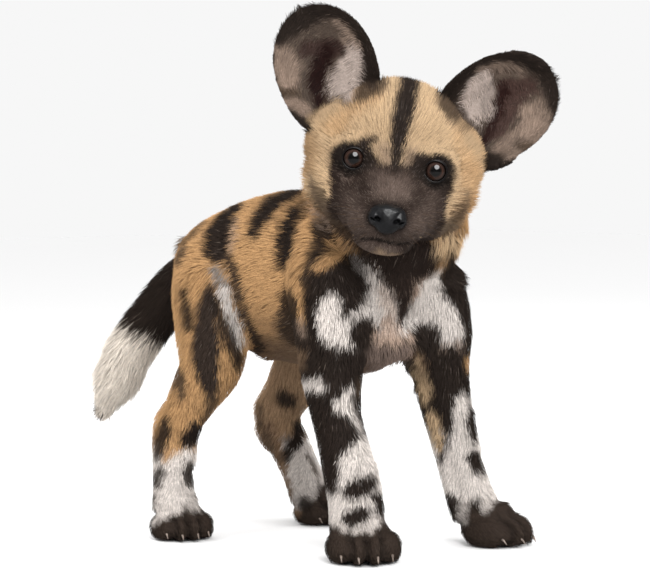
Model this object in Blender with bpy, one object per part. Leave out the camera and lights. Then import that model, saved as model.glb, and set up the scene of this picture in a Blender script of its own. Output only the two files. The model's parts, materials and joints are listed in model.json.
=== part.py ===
"""African wild dog pup, about nine weeks old, standing with its head turned to its right, at life size.

Metres, +Z up. The pup faces -Y, and its own left side is +X. The origin is on the floor, under the
middle of the whole model. The outer faces are the tips of the coat, not the skin.
"""

import math
import random

import bmesh
import bpy
import numpy as np
from mathutils import Matrix, Quaternion, Vector
from mathutils.bvhtree import BVHTree

# Driving dimensions
BACK_HEIGHT = 0.271
BELLY_HEIGHT = 0.134
CHEST_FRONT = -0.064
RUMP_REAR = 0.168
CHEST_MIDLINE = 0.010
RUMP_MIDLINE = -0.010
CHEST_HALF_WIDTH = 0.056

HEAD_TURN = math.radians(42.0)
HEAD_ROLL = math.radians(9.0)
EYE_LEVEL_POINT = Vector((-0.028, -0.092, 0.288))
CRANIUM_HALF_WIDTH = 0.053
CROWN_ABOVE_EYES = 0.064
EYE_HALF_SPACING = 0.0306
EYE_RADIUS = 0.0098
EYE_DEPTH = 0.0095
LID_THICKNESS = 0.0017
LID_HALF_WIDTH = 0.0076
LID_HALF_HEIGHT = 0.0074
NOSE_HALF_WIDTH = 0.0145
NOSE_HALF_HEIGHT = 0.0108
MOUTH_LEVEL = -0.0555
MOUTH_HALF_WIDTH = 0.027
MOUTH_GROOVE_RADIUS = 0.0011

EAR_LENGTH = 0.083
EAR_HALF_WIDTH = 0.0390
EAR_CUP_DEPTH = 0.019
EAR_THICKNESS = 0.0050

PAW_HALF_WIDTH = 0.0265
TOE_HALF_WIDTH = 0.0094
TOE_HALF_LENGTH = 0.0185
TOE_HALF_HEIGHT = 0.0128
CLAW_LENGTH = 0.0085
CLAW_RADIUS = 0.0019
PAW_CUT_HEIGHT = 0.028
SOLE_LEVEL = -0.0040

TAIL_RADIUS = 0.0205
TAIL_CORE_SHARE = 0.50
LOCK_ROWS = 5
LOCKS_ROUND = 6
LOCK_LENGTH = 0.064
LOCK_HALF_WIDTH = 0.0110
LOCK_HALF_THICKNESS = 0.0024
LOCK_RISE = (0.0, 0.62, 0.90, 0.98, 1.0)

GAP = 0.00035
SLEEVE = 0.0035
SAME_SPOT = 0.000004
RING_SIDES = 28
RINGS_PER_SPAN = 5
BODY_VOXEL = 0.0036
HEAD_VOXEL = 0.0021
PAW_VOXEL = 0.0019
NOSE_VOXEL = 0.0010

BODY_TRIANGLES = 3100
HEAD_TRIANGLES = 1750
PAW_TRIANGLES = 400

MATERIALS = {
    "coat": ((0.50, 0.35, 0.20), 0.85),
    "dark_coat": ((0.045, 0.036, 0.032), 0.85),
    "eye": ((0.020, 0.012, 0.010), 0.08),
    "nose": ((0.022, 0.023, 0.026), 0.35),
    "claw": ((0.28, 0.23, 0.20), 0.45),
}


def clear_scene():
    for obj in list(bpy.data.objects):
        bpy.data.objects.remove(obj, do_unlink=True)


def material(name):
    """One Principled material for each finish, shared by the nodes that have it."""
    found = bpy.data.materials.get(name)
    if found:
        return found
    colour, roughness = MATERIALS[name]
    made = bpy.data.materials.new(name)
    made.use_nodes = True
    shader = made.node_tree.nodes["Principled BSDF"]
    shader.inputs["Base Color"].default_value = (*colour, 1.0)
    shader.inputs["Roughness"].default_value = roughness
    shader.inputs["Metallic"].default_value = 0.0
    return made


# Helpers for closed shapes


def object_of(name, bm):
    """A mesh object made from a bmesh, with its faces turned outwards."""
    bmesh.ops.recalc_face_normals(bm, faces=bm.faces[:])
    mesh = bpy.data.meshes.new(name)
    bm.to_mesh(mesh)
    bm.free()
    obj = bpy.data.objects.new(name, mesh)
    bpy.context.scene.collection.objects.link(obj)
    return obj


def remove(*objects):
    for obj in objects:
        bpy.data.objects.remove(obj, do_unlink=True)


def spline(points, per_span):
    """Rows on a smooth curve through the given rows, by the Catmull-Rom formula."""
    rows = np.array(points, float)
    ends = np.vstack([2 * rows[0] - rows[1], rows, 2 * rows[-1] - rows[-2]])
    out = []
    for i in range(1, len(ends) - 2):
        a, b, c, d = ends[i - 1 : i + 3]
        for t in np.arange(per_span) / per_span:
            bend = 2 * a - 5 * b + 4 * c - d
            turn = 3 * b - a - 3 * c + d
            out.append(0.5 * (2 * b + (c - a) * t + bend * t * t + turn * t**3))
    out.append(rows[-1])
    return np.array(out)


def tube(name, stations, across=(1.0, 0.0, 0.0), sides=RING_SIDES, per_span=RINGS_PER_SPAN):
    """A closed tube through stations of (x, y, z, half width along `across`, half width the other way)."""
    rows = spline(stations, per_span)
    centres = rows[:, :3]
    tangents = np.gradient(centres, axis=0)
    bm = bmesh.new()
    rings = []
    for centre, tangent, (half_a, half_b) in zip(centres, tangents, rows[:, 3:5]):
        along = Vector(tangent).normalized()
        side = (Vector(across) - along * along.dot(Vector(across))).normalized()
        other = along.cross(side)
        ring = []
        for k in range(sides):
            angle = 2 * math.pi * k / sides
            offset = side * (max(half_a, 0.0005) * math.cos(angle))
            offset += other * (max(half_b, 0.0005) * math.sin(angle))
            ring.append(bm.verts.new(Vector(centre) + offset))
        rings.append(ring)
    for low, high in zip(rings, rings[1:]):
        for k in range(sides):
            n = (k + 1) % sides
            bm.faces.new((low[k], low[n], high[n], high[k]))
    bm.faces.new(rings[0])
    bm.faces.new(rings[-1])
    return object_of(name, bm)


def ellipsoid(name, centre, half_sizes, turn=None, segments=32, rings=18):
    """A closed ellipsoid at a place, with its half sizes along its own axes."""
    bm = bmesh.new()
    bmesh.ops.create_uvsphere(bm, u_segments=segments, v_segments=rings, radius=1.0)
    place = Matrix.Translation(Vector(centre)) @ (turn.to_matrix().to_4x4() if turn else Matrix())
    bmesh.ops.transform(bm, matrix=place @ Matrix.Diagonal((*half_sizes, 1.0)), verts=bm.verts)
    return object_of(name, bm)


def box(name, place, half_sizes):
    """A closed box, centred on a placement matrix."""
    bm = bmesh.new()
    bmesh.ops.create_cube(bm, size=2.0)
    bmesh.ops.transform(bm, matrix=place @ Matrix.Diagonal((*half_sizes, 1.0)), verts=bm.verts)
    return object_of(name, bm)


def apply_modifiers(obj):
    """Puts the evaluated mesh in place of the object's own and clears its modifiers."""
    graph = bpy.context.evaluated_depsgraph_get()
    graph.update()
    mesh = bpy.data.meshes.new_from_object(obj.evaluated_get(graph))
    obj.modifiers.clear()
    obj.data = mesh
    return obj


def fuse(name, pieces, voxel, smooth_rounds, triangles):
    """Overlapping closed pieces as one smooth body with about that many triangles."""
    bm = bmesh.new()
    for piece in pieces:
        bm.from_mesh(piece.data)
    fused = object_of(name, bm)
    remove(*pieces)
    remesh = fused.modifiers.new("Fuse", "REMESH")
    remesh.mode = "VOXEL"
    remesh.voxel_size = voxel
    smooth = fused.modifiers.new("Round", "SMOOTH")
    smooth.factor = 0.5
    smooth.iterations = smooth_rounds
    apply_modifiers(fused)
    if triangles:
        count = 2 * len(fused.data.polygons)
        thin = fused.modifiers.new("Thin", "DECIMATE")
        thin.ratio = min(1.0, triangles / count)
        apply_modifiers(fused)
    return fused


def grown(obj, by=GAP):
    """A copy whose surface stands out by that much, for cutting a neighbour clear of it."""
    copy = obj.copy()
    copy.data = obj.data.copy()
    bpy.context.scene.collection.objects.link(copy)
    swell = copy.modifiers.new("Grow", "DISPLACE")
    swell.mid_level = 0.0
    swell.strength = by
    return apply_modifiers(copy)


def keep_largest(obj):
    """Merges corners that a cut left on one spot, and drops all but the largest closed surface."""
    bm = bmesh.new()
    bm.from_mesh(obj.data)
    bmesh.ops.triangulate(bm, faces=bm.faces[:])
    bmesh.ops.remove_doubles(bm, verts=bm.verts, dist=SAME_SPOT)
    bmesh.ops.dissolve_degenerate(bm, edges=bm.edges, dist=SAME_SPOT)
    left = set(bm.verts)
    groups = []
    while left:
        group, front = set(), [left.pop()]
        while front:
            vert = front.pop()
            group.add(vert)
            for edge in vert.link_edges:
                other = edge.other_vert(vert)
                if other in left:
                    left.remove(other)
                    front.append(other)
        groups.append(group)
    groups.sort(key=len)
    for group in groups[:-1]:
        bmesh.ops.delete(bm, geom=list(group), context="VERTS")
    bm.to_mesh(obj.data)
    bm.free()
    return obj


def combine(obj, other, operation):
    """A Boolean with one other closed object, which is then removed."""
    cut = obj.modifiers.new("Cut", "BOOLEAN")
    cut.operation = operation
    cut.object = other
    apply_modifiers(obj)
    remove(other)
    return keep_largest(obj)


def part_off(whole, name, place, half_sizes):
    """Takes the stretch inside a box away from `whole` and returns it as its own object."""
    piece = whole.copy()
    piece.name = name
    piece.data = whole.data.copy()
    bpy.context.scene.collection.objects.link(piece)
    combine(piece, box("inside", place, half_sizes), "INTERSECT")
    wider = [size + GAP for size in half_sizes]
    combine(whole, box("outside", place, wider), "DIFFERENCE")
    return piece


def finish(obj, name, finish_name):
    obj.name = name
    obj.data.name = name
    obj.data.materials.clear()
    obj.data.materials.append(material(finish_name))
    return obj


def stand_on_origin():
    """Moves every node so that the middle of the model's underside is at the origin."""
    points = [v.co for obj in bpy.data.objects for v in obj.data.vertices]
    low = [min(p[axis] for p in points) for axis in range(3)]
    high = [max(p[axis] for p in points) for axis in range(3)]
    shift = Vector((-(low[0] + high[0]) / 2, -(low[1] + high[1]) / 2, -low[2]))
    for obj in bpy.data.objects:
        obj.data.transform(Matrix.Translation(shift))


# The head's own frame: x to the pup's left, y up through the crown, z out of the face

HEAD_FORWARD = Vector((-math.sin(HEAD_TURN), -math.cos(HEAD_TURN), 0.0))
LEVEL_LEFT = Vector((math.cos(HEAD_TURN), -math.sin(HEAD_TURN), 0.0))
HEAD_UP = Vector((0, 0, 1)) * math.cos(HEAD_ROLL) + LEVEL_LEFT * math.sin(HEAD_ROLL)
HEAD_LEFT = LEVEL_LEFT * math.cos(HEAD_ROLL) - Vector((0, 0, 1)) * math.sin(HEAD_ROLL)
HEAD_FRAME = Matrix.Translation(EYE_LEVEL_POINT) @ Matrix(
    (
        (HEAD_LEFT.x, HEAD_UP.x, HEAD_FORWARD.x, 0),
        (HEAD_LEFT.y, HEAD_UP.y, HEAD_FORWARD.y, 0),
        (HEAD_LEFT.z, HEAD_UP.z, HEAD_FORWARD.z, 0),
        (0, 0, 0, 1),
    )
)


def in_head_frame(obj):
    obj.data.transform(HEAD_FRAME)
    return obj


# Head


def head_masses():
    """The cranium, cheeks, brows and muzzle, as overlapping rounded masses in the head's frame."""
    masses = [
        ellipsoid("cranium", (0, 0.011, -0.045), (CRANIUM_HALF_WIDTH, CROWN_ABOVE_EYES - 0.011, 0.050)),
        ellipsoid("forehead", (0, 0.022, -0.022), (0.040, 0.030, 0.027)),
        ellipsoid("nape", (0, -0.010, -0.060), (0.044, 0.044, 0.036)),
    ]
    for side in (-1, 1):
        masses += [
            ellipsoid("temple", (side * 0.038, 0.008, -0.042), (0.0285, 0.031, 0.032)),
            ellipsoid("cheek", (side * 0.0368, -0.015, -0.037), (0.0275, 0.031, 0.033)),
            ellipsoid("jowl", (side * 0.026, -0.032, -0.024), (0.023, 0.021, 0.033)),
            ellipsoid("brow", (side * 0.025, 0.013, -0.014), (0.019, 0.010, 0.014)),
            ellipsoid("eye_mound", (side * EYE_HALF_SPACING, 0.0, -0.0120), (0.0175, 0.0145, 0.0145)),
            ellipsoid("whisker_pad", (side * 0.0130, -0.0430, 0.0145), (0.0160, 0.0130, 0.0185)),
            ellipsoid("muzzle_side", (side * 0.0200, -0.0360, 0.0000), (0.0170, 0.0170, 0.0200)),
        ]
    muzzle = [
        (0, -0.022, -0.045, 0.036, 0.032),
        (0, -0.027, -0.020, 0.036, 0.031),
        (0, -0.031, 0.000, 0.031, 0.0265),
        (0, -0.036, 0.015, 0.026, 0.0205),
        (0, -0.041, 0.028, 0.019, 0.0135),
        (0, -0.043, 0.035, 0.009, 0.006),
    ]
    jaw = [
        (0, -0.048, -0.040, 0.025, 0.014),
        (0, -0.053, -0.015, 0.024, 0.013),
        (0, -0.0570, 0.008, 0.0215, 0.0100),
        (0, -0.0585, 0.021, 0.0165, 0.0075),
        (0, -0.0585, 0.027, 0.007, 0.004),
    ]
    masses.append(tube("muzzle", muzzle))
    masses.append(tube("lower_jaw", jaw))
    return masses


def eye_centre(side):
    return Vector((side * EYE_HALF_SPACING, 0.0, -EYE_DEPTH))


def make_eye(side):
    eye = ellipsoid("eye", eye_centre(side), (EYE_RADIUS,) * 3, segments=16, rings=10)
    return in_head_frame(eye)


def add_lids(head, side):
    """A thin round wall over the eyeball, open in front between the two lids."""
    wall = EYE_RADIUS + GAP + LID_THICKNESS
    combine(head, ellipsoid("lid_wall", eye_centre(side), (wall,) * 3, segments=18, rings=11), "UNION")
    turn = Quaternion((0, 0, 1), side * math.radians(-8))
    reach = Vector((0, 0, EYE_RADIUS))
    opening = ellipsoid(
        "lid_opening",
        eye_centre(side) + reach,
        (LID_HALF_WIDTH, LID_HALF_HEIGHT, EYE_RADIUS * 0.85),
        turn=turn,
        segments=16,
        rings=8,
    )
    combine(head, opening, "DIFFERENCE")
    socket = (EYE_RADIUS + GAP,) * 3
    combine(head, ellipsoid("socket", eye_centre(side), socket, segments=16, rings=10), "DIFFERENCE")


def make_nose():
    """The bare nose pad: broad above, narrow below, with two open nostrils and a groove between."""
    pieces = [
        ellipsoid("nose_top", (0, -0.0355, 0.0335), (NOSE_HALF_WIDTH * 0.93, 0.0068, 0.0072)),
        ellipsoid("nose_body", (0, -0.0405, 0.0335), (0.0098, NOSE_HALF_HEIGHT, 0.0080)),
    ]
    for side in (-1, 1):
        pieces.append(
            ellipsoid("nose_wing", (side * 0.0088, -0.0395, 0.0330), (0.0058, 0.0066, 0.0072))
        )
    nose = fuse("nose", pieces, NOSE_VOXEL, 4, 220)
    for side in (-1, 1):
        turn = Quaternion((0, 0, 1), side * math.radians(24))
        nostril = ellipsoid(
            "nostril", (side * 0.0070, -0.0405, 0.0410), (0.0029, 0.0020, 0.0062), turn, 12, 7
        )
        combine(nose, nostril, "DIFFERENCE")
        slit = ellipsoid(
            "slit", (side * 0.0105, -0.0412, 0.0390), (0.0034, 0.0009, 0.0040), turn, 8, 5
        )
        combine(nose, slit, "DIFFERENCE")
    groove = ellipsoid("nose_groove", (0, -0.0460, 0.0418), (0.0006, 0.0062, 0.0016), None, 8, 5)
    combine(nose, groove, "DIFFERENCE")
    return nose


def mouth_line(head):
    """Points on the surface of the muzzle where the lips meet, from one corner to the other."""
    tree = BVHTree.FromPolygons(
        [v.co for v in head.data.vertices], [p.vertices for p in head.data.polygons]
    )
    points = []
    for step in range(25):
        t = -1 + step / 12
        level = MOUTH_LEVEL + 0.0060 * t * t + 0.0012 * math.cos(6 * t)
        outward = Vector((math.sin(t * 1.15), 0, math.cos(t * 1.15)))
        start = Vector((t * MOUTH_HALF_WIDTH * 0.55, level, -0.005)) + outward * 0.08
        hit = tree.ray_cast(start, -outward)[0]
        points.append(hit)
    return points


def cut_mouth(head):
    """A shallow groove where the lips close."""
    rows = [(*point, MOUTH_GROOVE_RADIUS, MOUTH_GROOVE_RADIUS) for point in mouth_line(head)]
    bm = bmesh.new()
    rings = []
    for k, row in enumerate(rows):
        centre = Vector(row[:3])
        ahead = Vector(rows[min(k + 1, len(rows) - 1)][:3])
        behind = Vector(rows[max(k - 1, 0)][:3])
        along = (ahead - behind).normalized()
        up = Vector((0, 1, 0))
        out = along.cross(up).normalized()
        ring = []
        for corner in range(6):
            angle = math.pi * corner / 3
            offset = up * math.sin(angle) * row[3] + out * math.cos(angle) * row[3] * 1.5
            ring.append(bm.verts.new(centre + offset))
        rings.append(ring)
    for low, high in zip(rings, rings[1:]):
        for k in range(6):
            n = (k + 1) % 6
            bm.faces.new((low[k], low[n], high[n], high[k]))
    bm.faces.new(rings[0])
    bm.faces.new(rings[-1])
    return combine(head, object_of("mouth_groove", bm), "DIFFERENCE")


# Ears


def make_ear(name, root, lean, face_turn):
    """A round cup open to the front, thin at its rim, on an axis that leans out from upright."""
    around, across = 26, 5
    centre_up = 0.42 * EAR_LENGTH
    below = centre_up + 0.016

    def surface(share, angle, back):
        """A point of the front sheet, or of the back sheet, at a share of the way to the rim."""
        c, s = math.cos(angle), math.sin(angle)
        power = 1.0 if s > 0 else 0.62
        x = EAR_HALF_WIDTH * math.copysign(abs(c) ** power, c) * share
        y = centre_up + (EAR_LENGTH - centre_up if s > 0 else below) * s * share
        cup = EAR_CUP_DEPTH * (1.0 + 0.35 * max(0.0, 1 - y / centre_up))
        z = -cup * (1 - share**2)
        wall = EAR_THICKNESS * (1.0 - 0.55 * share**3)
        return Vector((x, y, z - wall * back))

    bm = bmesh.new()
    sheets = []
    for back in (0, 1):
        middle = bm.verts.new(surface(0.0, 0.0, back))
        rings = []
        for j in range(1, across + 1):
            share = math.sin(0.5 * math.pi * j / across) ** 0.9
            rings.append(
                [bm.verts.new(surface(share, 2 * math.pi * k / around, back)) for k in range(around)]
            )
        for k in range(around):
            n = (k + 1) % around
            bm.faces.new((middle, rings[0][k], rings[0][n]))
            for low, high in zip(rings, rings[1:]):
                bm.faces.new((low[k], high[k], high[n], low[n]))
        sheets.append(rings[-1])
    for k in range(around):
        n = (k + 1) % around
        bm.faces.new((sheets[0][k], sheets[1][k], sheets[1][n], sheets[0][n]))
    ear = object_of(name, bm)
    turn = Quaternion((0, 0, 1), -lean) @ Quaternion((0, 1, 0), face_turn)
    ear.data.transform(Matrix.Translation(Vector(root)) @ turn.to_matrix().to_4x4())
    return ear


# Legs, as stations of (x, y, z, half width, half depth)

FRONT_RIGHT = [
    (-0.026, -0.004, 0.238, 0.020, 0.026),
    (-0.038, -0.026, 0.200, 0.026, 0.033),
    (-0.042, -0.038, 0.165, 0.026, 0.032),
    (-0.046, -0.043, 0.133, 0.0225, 0.0260),
    (-0.049, -0.050, 0.108, 0.0198, 0.0205),
    (-0.050, -0.057, 0.088, 0.0186, 0.0190),
    (-0.050, -0.067, 0.062, 0.0206, 0.0205),
    (-0.051, -0.073, 0.040, 0.0200, 0.0196),
    (-0.052, -0.078, 0.018, 0.0215, 0.0200),
]
FRONT_LEFT = [
    (0.044, -0.014, 0.238, 0.020, 0.026),
    (0.052, -0.038, 0.200, 0.026, 0.033),
    (0.055, -0.050, 0.165, 0.026, 0.032),
    (0.056, -0.054, 0.133, 0.0225, 0.0260),
    (0.059, -0.058, 0.110, 0.0200, 0.0205),
    (0.062, -0.062, 0.086, 0.0176, 0.0182),
    (0.067, -0.067, 0.058, 0.0166, 0.0172),
    (0.070, -0.073, 0.038, 0.0175, 0.0176),
    (0.073, -0.080, 0.018, 0.0200, 0.0195),
]
HIND_RIGHT = [
    (-0.036, 0.112, 0.222, 0.024, 0.036),
    (-0.046, 0.098, 0.190, 0.027, 0.040),
    (-0.055, 0.086, 0.158, 0.0265, 0.035),
    (-0.063, 0.079, 0.132, 0.0235, 0.029),
    (-0.070, 0.092, 0.106, 0.0185, 0.0215),
    (-0.076, 0.107, 0.082, 0.0165, 0.0195),
    (-0.079, 0.107, 0.060, 0.0160, 0.0175),
    (-0.081, 0.104, 0.038, 0.0160, 0.0165),
    (-0.082, 0.100, 0.018, 0.0185, 0.0185),
]
HIND_LEFT = [
    (0.018, 0.112, 0.222, 0.024, 0.036),
    (0.030, 0.100, 0.190, 0.027, 0.040),
    (0.040, 0.092, 0.158, 0.0265, 0.035),
    (0.046, 0.092, 0.132, 0.0235, 0.029),
    (0.049, 0.113, 0.104, 0.0190, 0.0225),
    (0.050, 0.132, 0.080, 0.0170, 0.0205),
    (0.051, 0.117, 0.058, 0.0165, 0.0180),
    (0.051, 0.101, 0.036, 0.0160, 0.0165),
    (0.052, 0.090, 0.018, 0.0185, 0.0185),
]
LEGS = {
    "front_right": FRONT_RIGHT,
    "front_left": FRONT_LEFT,
    "hind_right": HIND_RIGHT,
    "hind_left": HIND_LEFT,
}
# Centre of each paw on the floor, its heading turned from -Y towards +X, and its size
PAWS = {
    "front_right": ((-0.053, -0.085), math.radians(-36), 1.00),
    "front_left": ((0.077, -0.092), math.radians(8), 1.00),
    "hind_right": ((-0.083, 0.092), math.radians(-24), 0.88),
    "hind_left": ((0.053, 0.080), math.radians(-4), 0.88),
}
# Each toe's place across the paw and ahead of its centre
TOES = ((-0.0188, 0.0060), (-0.0070, 0.0150), (0.0070, 0.0150), (0.0188, 0.0060))


def paw_frame(name):
    """The paw's own frame on the floor: x across it, y back along it, z up, at its own scale."""
    (x, y), heading, size = PAWS[name]
    turn = Matrix.Rotation(heading, 4, "Z")
    return Matrix.Translation((x, y, SOLE_LEVEL)) @ turn @ Matrix.Diagonal((size, size, size, 1.0))


def paw_masses(name):
    """The pad, four arched toes, and the last stretch of the leg."""
    masses = [
        ellipsoid("palm", (0, 0.004, 0.0120), (PAW_HALF_WIDTH * 0.88, 0.0215, 0.0145)),
        ellipsoid("instep", (0, 0.002, 0.0200), (PAW_HALF_WIDTH * 0.76, 0.0185, 0.0160)),
    ]
    for across, ahead in TOES:
        turn = Quaternion((0, 0, 1), -across * 8.0)
        masses.append(
            ellipsoid(
                "toe",
                (across, -ahead, 0.0108),
                (TOE_HALF_WIDTH, TOE_HALF_LENGTH, TOE_HALF_HEIGHT),
                turn,
                20,
                12,
            )
        )
    for mass in masses:
        mass.data.transform(paw_frame(name))
    masses.append(tube("pastern", LEGS[name][-4:]))
    return masses


def floor_cut(obj):
    """Trims a piece flat where it stands on the floor."""
    depth = 0.05
    place = Matrix.Translation((0, 0, SOLE_LEVEL - depth))
    return combine(obj, box("floor", place, (1, 1, depth)), "DIFFERENCE")


def make_paw(name):
    paw = fuse("paw_" + name, paw_masses(name), PAW_VOXEL, 4, PAW_TRIANGLES)
    floor_cut(paw)
    above = Matrix.Translation((0, 0, PAW_CUT_HEIGHT + 0.2))
    return combine(paw, box("above", above, (0.5, 0.5, 0.2)), "DIFFERENCE")


def make_claw(name, across, ahead):
    """A short curved cone that leaves the front of its toe and points down."""
    size = TOE_HALF_LENGTH * 0.86
    rows = []
    for step in range(4):
        t = step / 3
        reach = size - 0.0035 + CLAW_LENGTH * t
        drop = 0.0095 - 0.0055 * t * t
        radius = CLAW_RADIUS * (1 - 0.85 * t)
        rows.append((across, -(ahead + reach), drop, radius, radius * 1.2))
    claw = small_cone("claw", rows)
    claw.data.transform(paw_frame(name))
    return claw


def small_cone(name, rows, sides=7):
    """A closed tapered rod through a few rows of (x, y, z, half width, half height)."""
    bm = bmesh.new()
    rings = []
    for k, row in enumerate(rows):
        ring = []
        for s in range(sides):
            angle = 2 * math.pi * s / sides
            ring.append(
                bm.verts.new((row[0] + row[3] * math.cos(angle), row[1], row[2] + row[4] * math.sin(angle)))
            )
        rings.append(ring)
    for low, high in zip(rings, rings[1:]):
        for s in range(sides):
            n = (s + 1) % sides
            bm.faces.new((low[s], low[n], high[n], high[s]))
    bm.faces.new(rings[0])
    bm.faces.new(rings[-1])
    return object_of(name, bm)


# Torso, neck and tail


def midline(y):
    """Where the spine runs, side to side: the pup's quarters stand a little to its right."""
    share = (y - CHEST_FRONT) / (RUMP_REAR - CHEST_FRONT)
    return CHEST_MIDLINE + (RUMP_MIDLINE - CHEST_MIDLINE) * share


def torso_station(y, top, bottom, half_width):
    return (midline(y), y, (top + bottom) / 2, half_width, (top - bottom) / 2)


# The tail out to the tips of its brush, as (x, y, z, radius)
TAIL = [
    (-0.009, 0.140, 0.222, 0.0220),
    (-0.011, 0.158, 0.211, 0.0205),
    (-0.0185, 0.1775, 0.1865, TAIL_RADIUS),
    (-0.0268, 0.1960, 0.1628, TAIL_RADIUS),
    (-0.0348, 0.2130, 0.1388, TAIL_RADIUS),
    (-0.0390, 0.2260, 0.1155, 0.0198),
    (-0.0430, 0.2360, 0.0945, 0.0152),
    (-0.0455, 0.2430, 0.0720, 0.0020),
]


def tail_core():
    """The tail's own stations: full at its root, and half way to the tips where it carries locks."""
    stations = []
    for k, (x, y, z, radius) in enumerate(TAIL[:-1]):
        share = 1 - (1 - TAIL_CORE_SHARE) * min(1.0, max(0, k - 0.6) / 1.6)
        stations.append((x, y, z, radius * share, radius * share))
    stations[-1] = (*stations[-1][:3], 0.002, 0.002)
    return stations


def tail_lock(rows, start, angle, length, twist):
    """One flat tapered lock, rooted in the core, whose tip reaches the outside of the brush."""
    bm = bmesh.new()
    rings = []
    shares = (0.0, 0.30, 0.60, 0.85, 1.0)
    widths = (0.70, 1.0, 0.90, 0.55, 0.0)
    for share, width in zip(shares, widths):
        place = start + share * length
        row = rows[min(int(place), len(rows) - 2)]
        ahead = rows[min(int(place), len(rows) - 2) + 1]
        centre = row + (ahead - row) * (place - min(int(place), len(rows) - 2))
        along = Vector(ahead[:3] - row[:3]).normalized()
        side = Vector((1, 0, 0)).cross(along).normalized()
        other = along.cross(side)
        here = angle + twist * share
        out = side * math.cos(here) + other * math.sin(here)
        edge = along.cross(out)
        outside = max(float(centre[3]), 0.003)
        reach = outside * (TAIL_CORE_SHARE * 0.6 + (0.96 - TAIL_CORE_SHARE * 0.6) * LOCK_RISE[len(rings)])
        middle = Vector(centre[:3]) + out * reach
        if width == 0.0:
            tip = bm.verts.new(middle)
            continue
        half = LOCK_HALF_WIDTH * width * min(1.0, 0.45 + float(centre[3]) / TAIL_RADIUS * 0.6)
        thick = LOCK_HALF_THICKNESS * (1.15 - 0.6 * share)
        sag = out * half * half / (2 * max(reach, 0.006))
        sides = (edge * half - sag, out * thick, -edge * half - sag, -out * thick)
        ring = [middle + offset for offset in sides]
        rings.append([bm.verts.new(point) for point in ring])
    for low, high in zip(rings, rings[1:]):
        for k in range(4):
            n = (k + 1) % 4
            bm.faces.new((low[k], low[n], high[n]))
            bm.faces.new((low[k], high[n], high[k]))
    for k in range(4):
        bm.faces.new((rings[-1][k], rings[-1][(k + 1) % 4], tip))
    bm.faces.new(rings[0])
    return object_of("lock", bm)


def grow_brush(tail):
    """Joins the locks of the brush to the tail, in rows that overlap from its root to its tip."""
    draw = random.Random(11)
    rows = spline(TAIL, RINGS_PER_SPAN)
    lengths = np.linalg.norm(np.diff(rows[:, :3], axis=0), axis=1)
    first, last = RINGS_PER_SPAN * 0.75, len(rows) - 1 - LOCK_LENGTH / lengths[-1] * 0.98
    collection = bpy.data.collections.new("locks")
    for row in range(LOCK_ROWS):
        start = first + (last - first) * row / (LOCK_ROWS - 1)
        count = LOCKS_ROUND if row < LOCK_ROWS - 1 else LOCKS_ROUND - 1
        for k in range(count):
            angle = 2 * math.pi * (k + 0.5 * (row % 2) + draw.uniform(-0.10, 0.10)) / count
            begin = start + draw.uniform(-0.7, 0.7)
            steps = LOCK_LENGTH * draw.uniform(0.92, 1.04) / lengths[int(begin)]
            steps = min(steps, len(rows) - 1.02 - begin)
            lock = tail_lock(rows, begin, angle, steps, draw.uniform(-0.2, 0.2))
            bpy.context.scene.collection.objects.unlink(lock)
            collection.objects.link(lock)
    join = tail.modifiers.new("Join", "BOOLEAN")
    join.operation = "UNION"
    join.operand_type = "COLLECTION"
    join.collection = collection
    apply_modifiers(tail)
    remove(*collection.objects)
    bpy.data.collections.remove(collection)
    return keep_largest(tail)


def body_masses():
    torso = [
        torso_station(CHEST_FRONT, 0.200, 0.156, 0.014),
        torso_station(-0.056, 0.226, 0.138, 0.036),
        torso_station(-0.038, 0.248, 0.128, 0.047),
        torso_station(-0.008, 0.264, BELLY_HEIGHT - 0.006, 0.053),
        torso_station(0.035, BACK_HEIGHT - 0.002, BELLY_HEIGHT - 0.004, CHEST_HALF_WIDTH),
        torso_station(0.075, 0.266, BELLY_HEIGHT + 0.001, CHEST_HALF_WIDTH - 0.001),
        torso_station(0.105, 0.260, 0.146, 0.050),
        torso_station(0.132, 0.250, 0.162, 0.045),
        torso_station(0.153, 0.238, 0.178, 0.034),
        torso_station(RUMP_REAR, 0.220, 0.198, 0.010),
    ]
    neck = [
        (0.010, 0.004, 0.212, 0.050, 0.048),
        (0.017, -0.025, 0.230, 0.058, 0.051),
        (0.021, -0.045, 0.250, 0.059, 0.051),
        (0.008, -0.056, 0.274, 0.048, 0.045),
        (0.002, -0.064, 0.298, 0.038, 0.038),
    ]
    masses = [tube("torso", torso), tube("neck", neck), tube("tail", tail_core())]
    masses.append(ellipsoid("brisket", (0.014, -0.036, 0.152), (0.040, 0.034, 0.027)))
    masses += [tube("leg_" + name, stations) for name, stations in LEGS.items()]
    for name, (x, y, z) in {"right": (-0.076, 0.118, 0.086), "left": (0.049, 0.147, 0.085)}.items():
        masses.append(ellipsoid("hock_" + name, (x, y, z), (0.0095, 0.0120, 0.0130)))
    return masses


def leg_sleeve(stations):
    """A closed sleeve a little outside the leg's own surface, which parts the leg from the torso."""
    x, y, z = stations[0][:3]
    wide = [(x, y, z - 0.008, 0.004, 0.004)]
    for row in stations[1:]:
        wide.append((*row[:3], row[3] + SLEEVE, row[4] + SLEEVE))
    x, y, z = stations[-1][:3]
    wide.append((x, y, -0.02, stations[-1][3] + SLEEVE, stations[-1][4] + SLEEVE))
    return fuse("sleeve", [tube("sleeve", wide)], BODY_VOXEL, 2, 180)


def facing(point, direction):
    """A frame at a point whose z axis runs along a direction."""
    turn = Vector(direction).to_track_quat("Z", "Y")
    return Matrix.Translation(Vector(point)) @ turn.to_matrix().to_4x4()


def cut_box(point, direction, half_side, length):
    """A box that starts on a plane at `point` and runs on along `direction`."""
    start = Vector(point) + Vector(direction).normalized() * length / 2
    return facing(start, direction), (half_side, half_side, length / 2)


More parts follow.
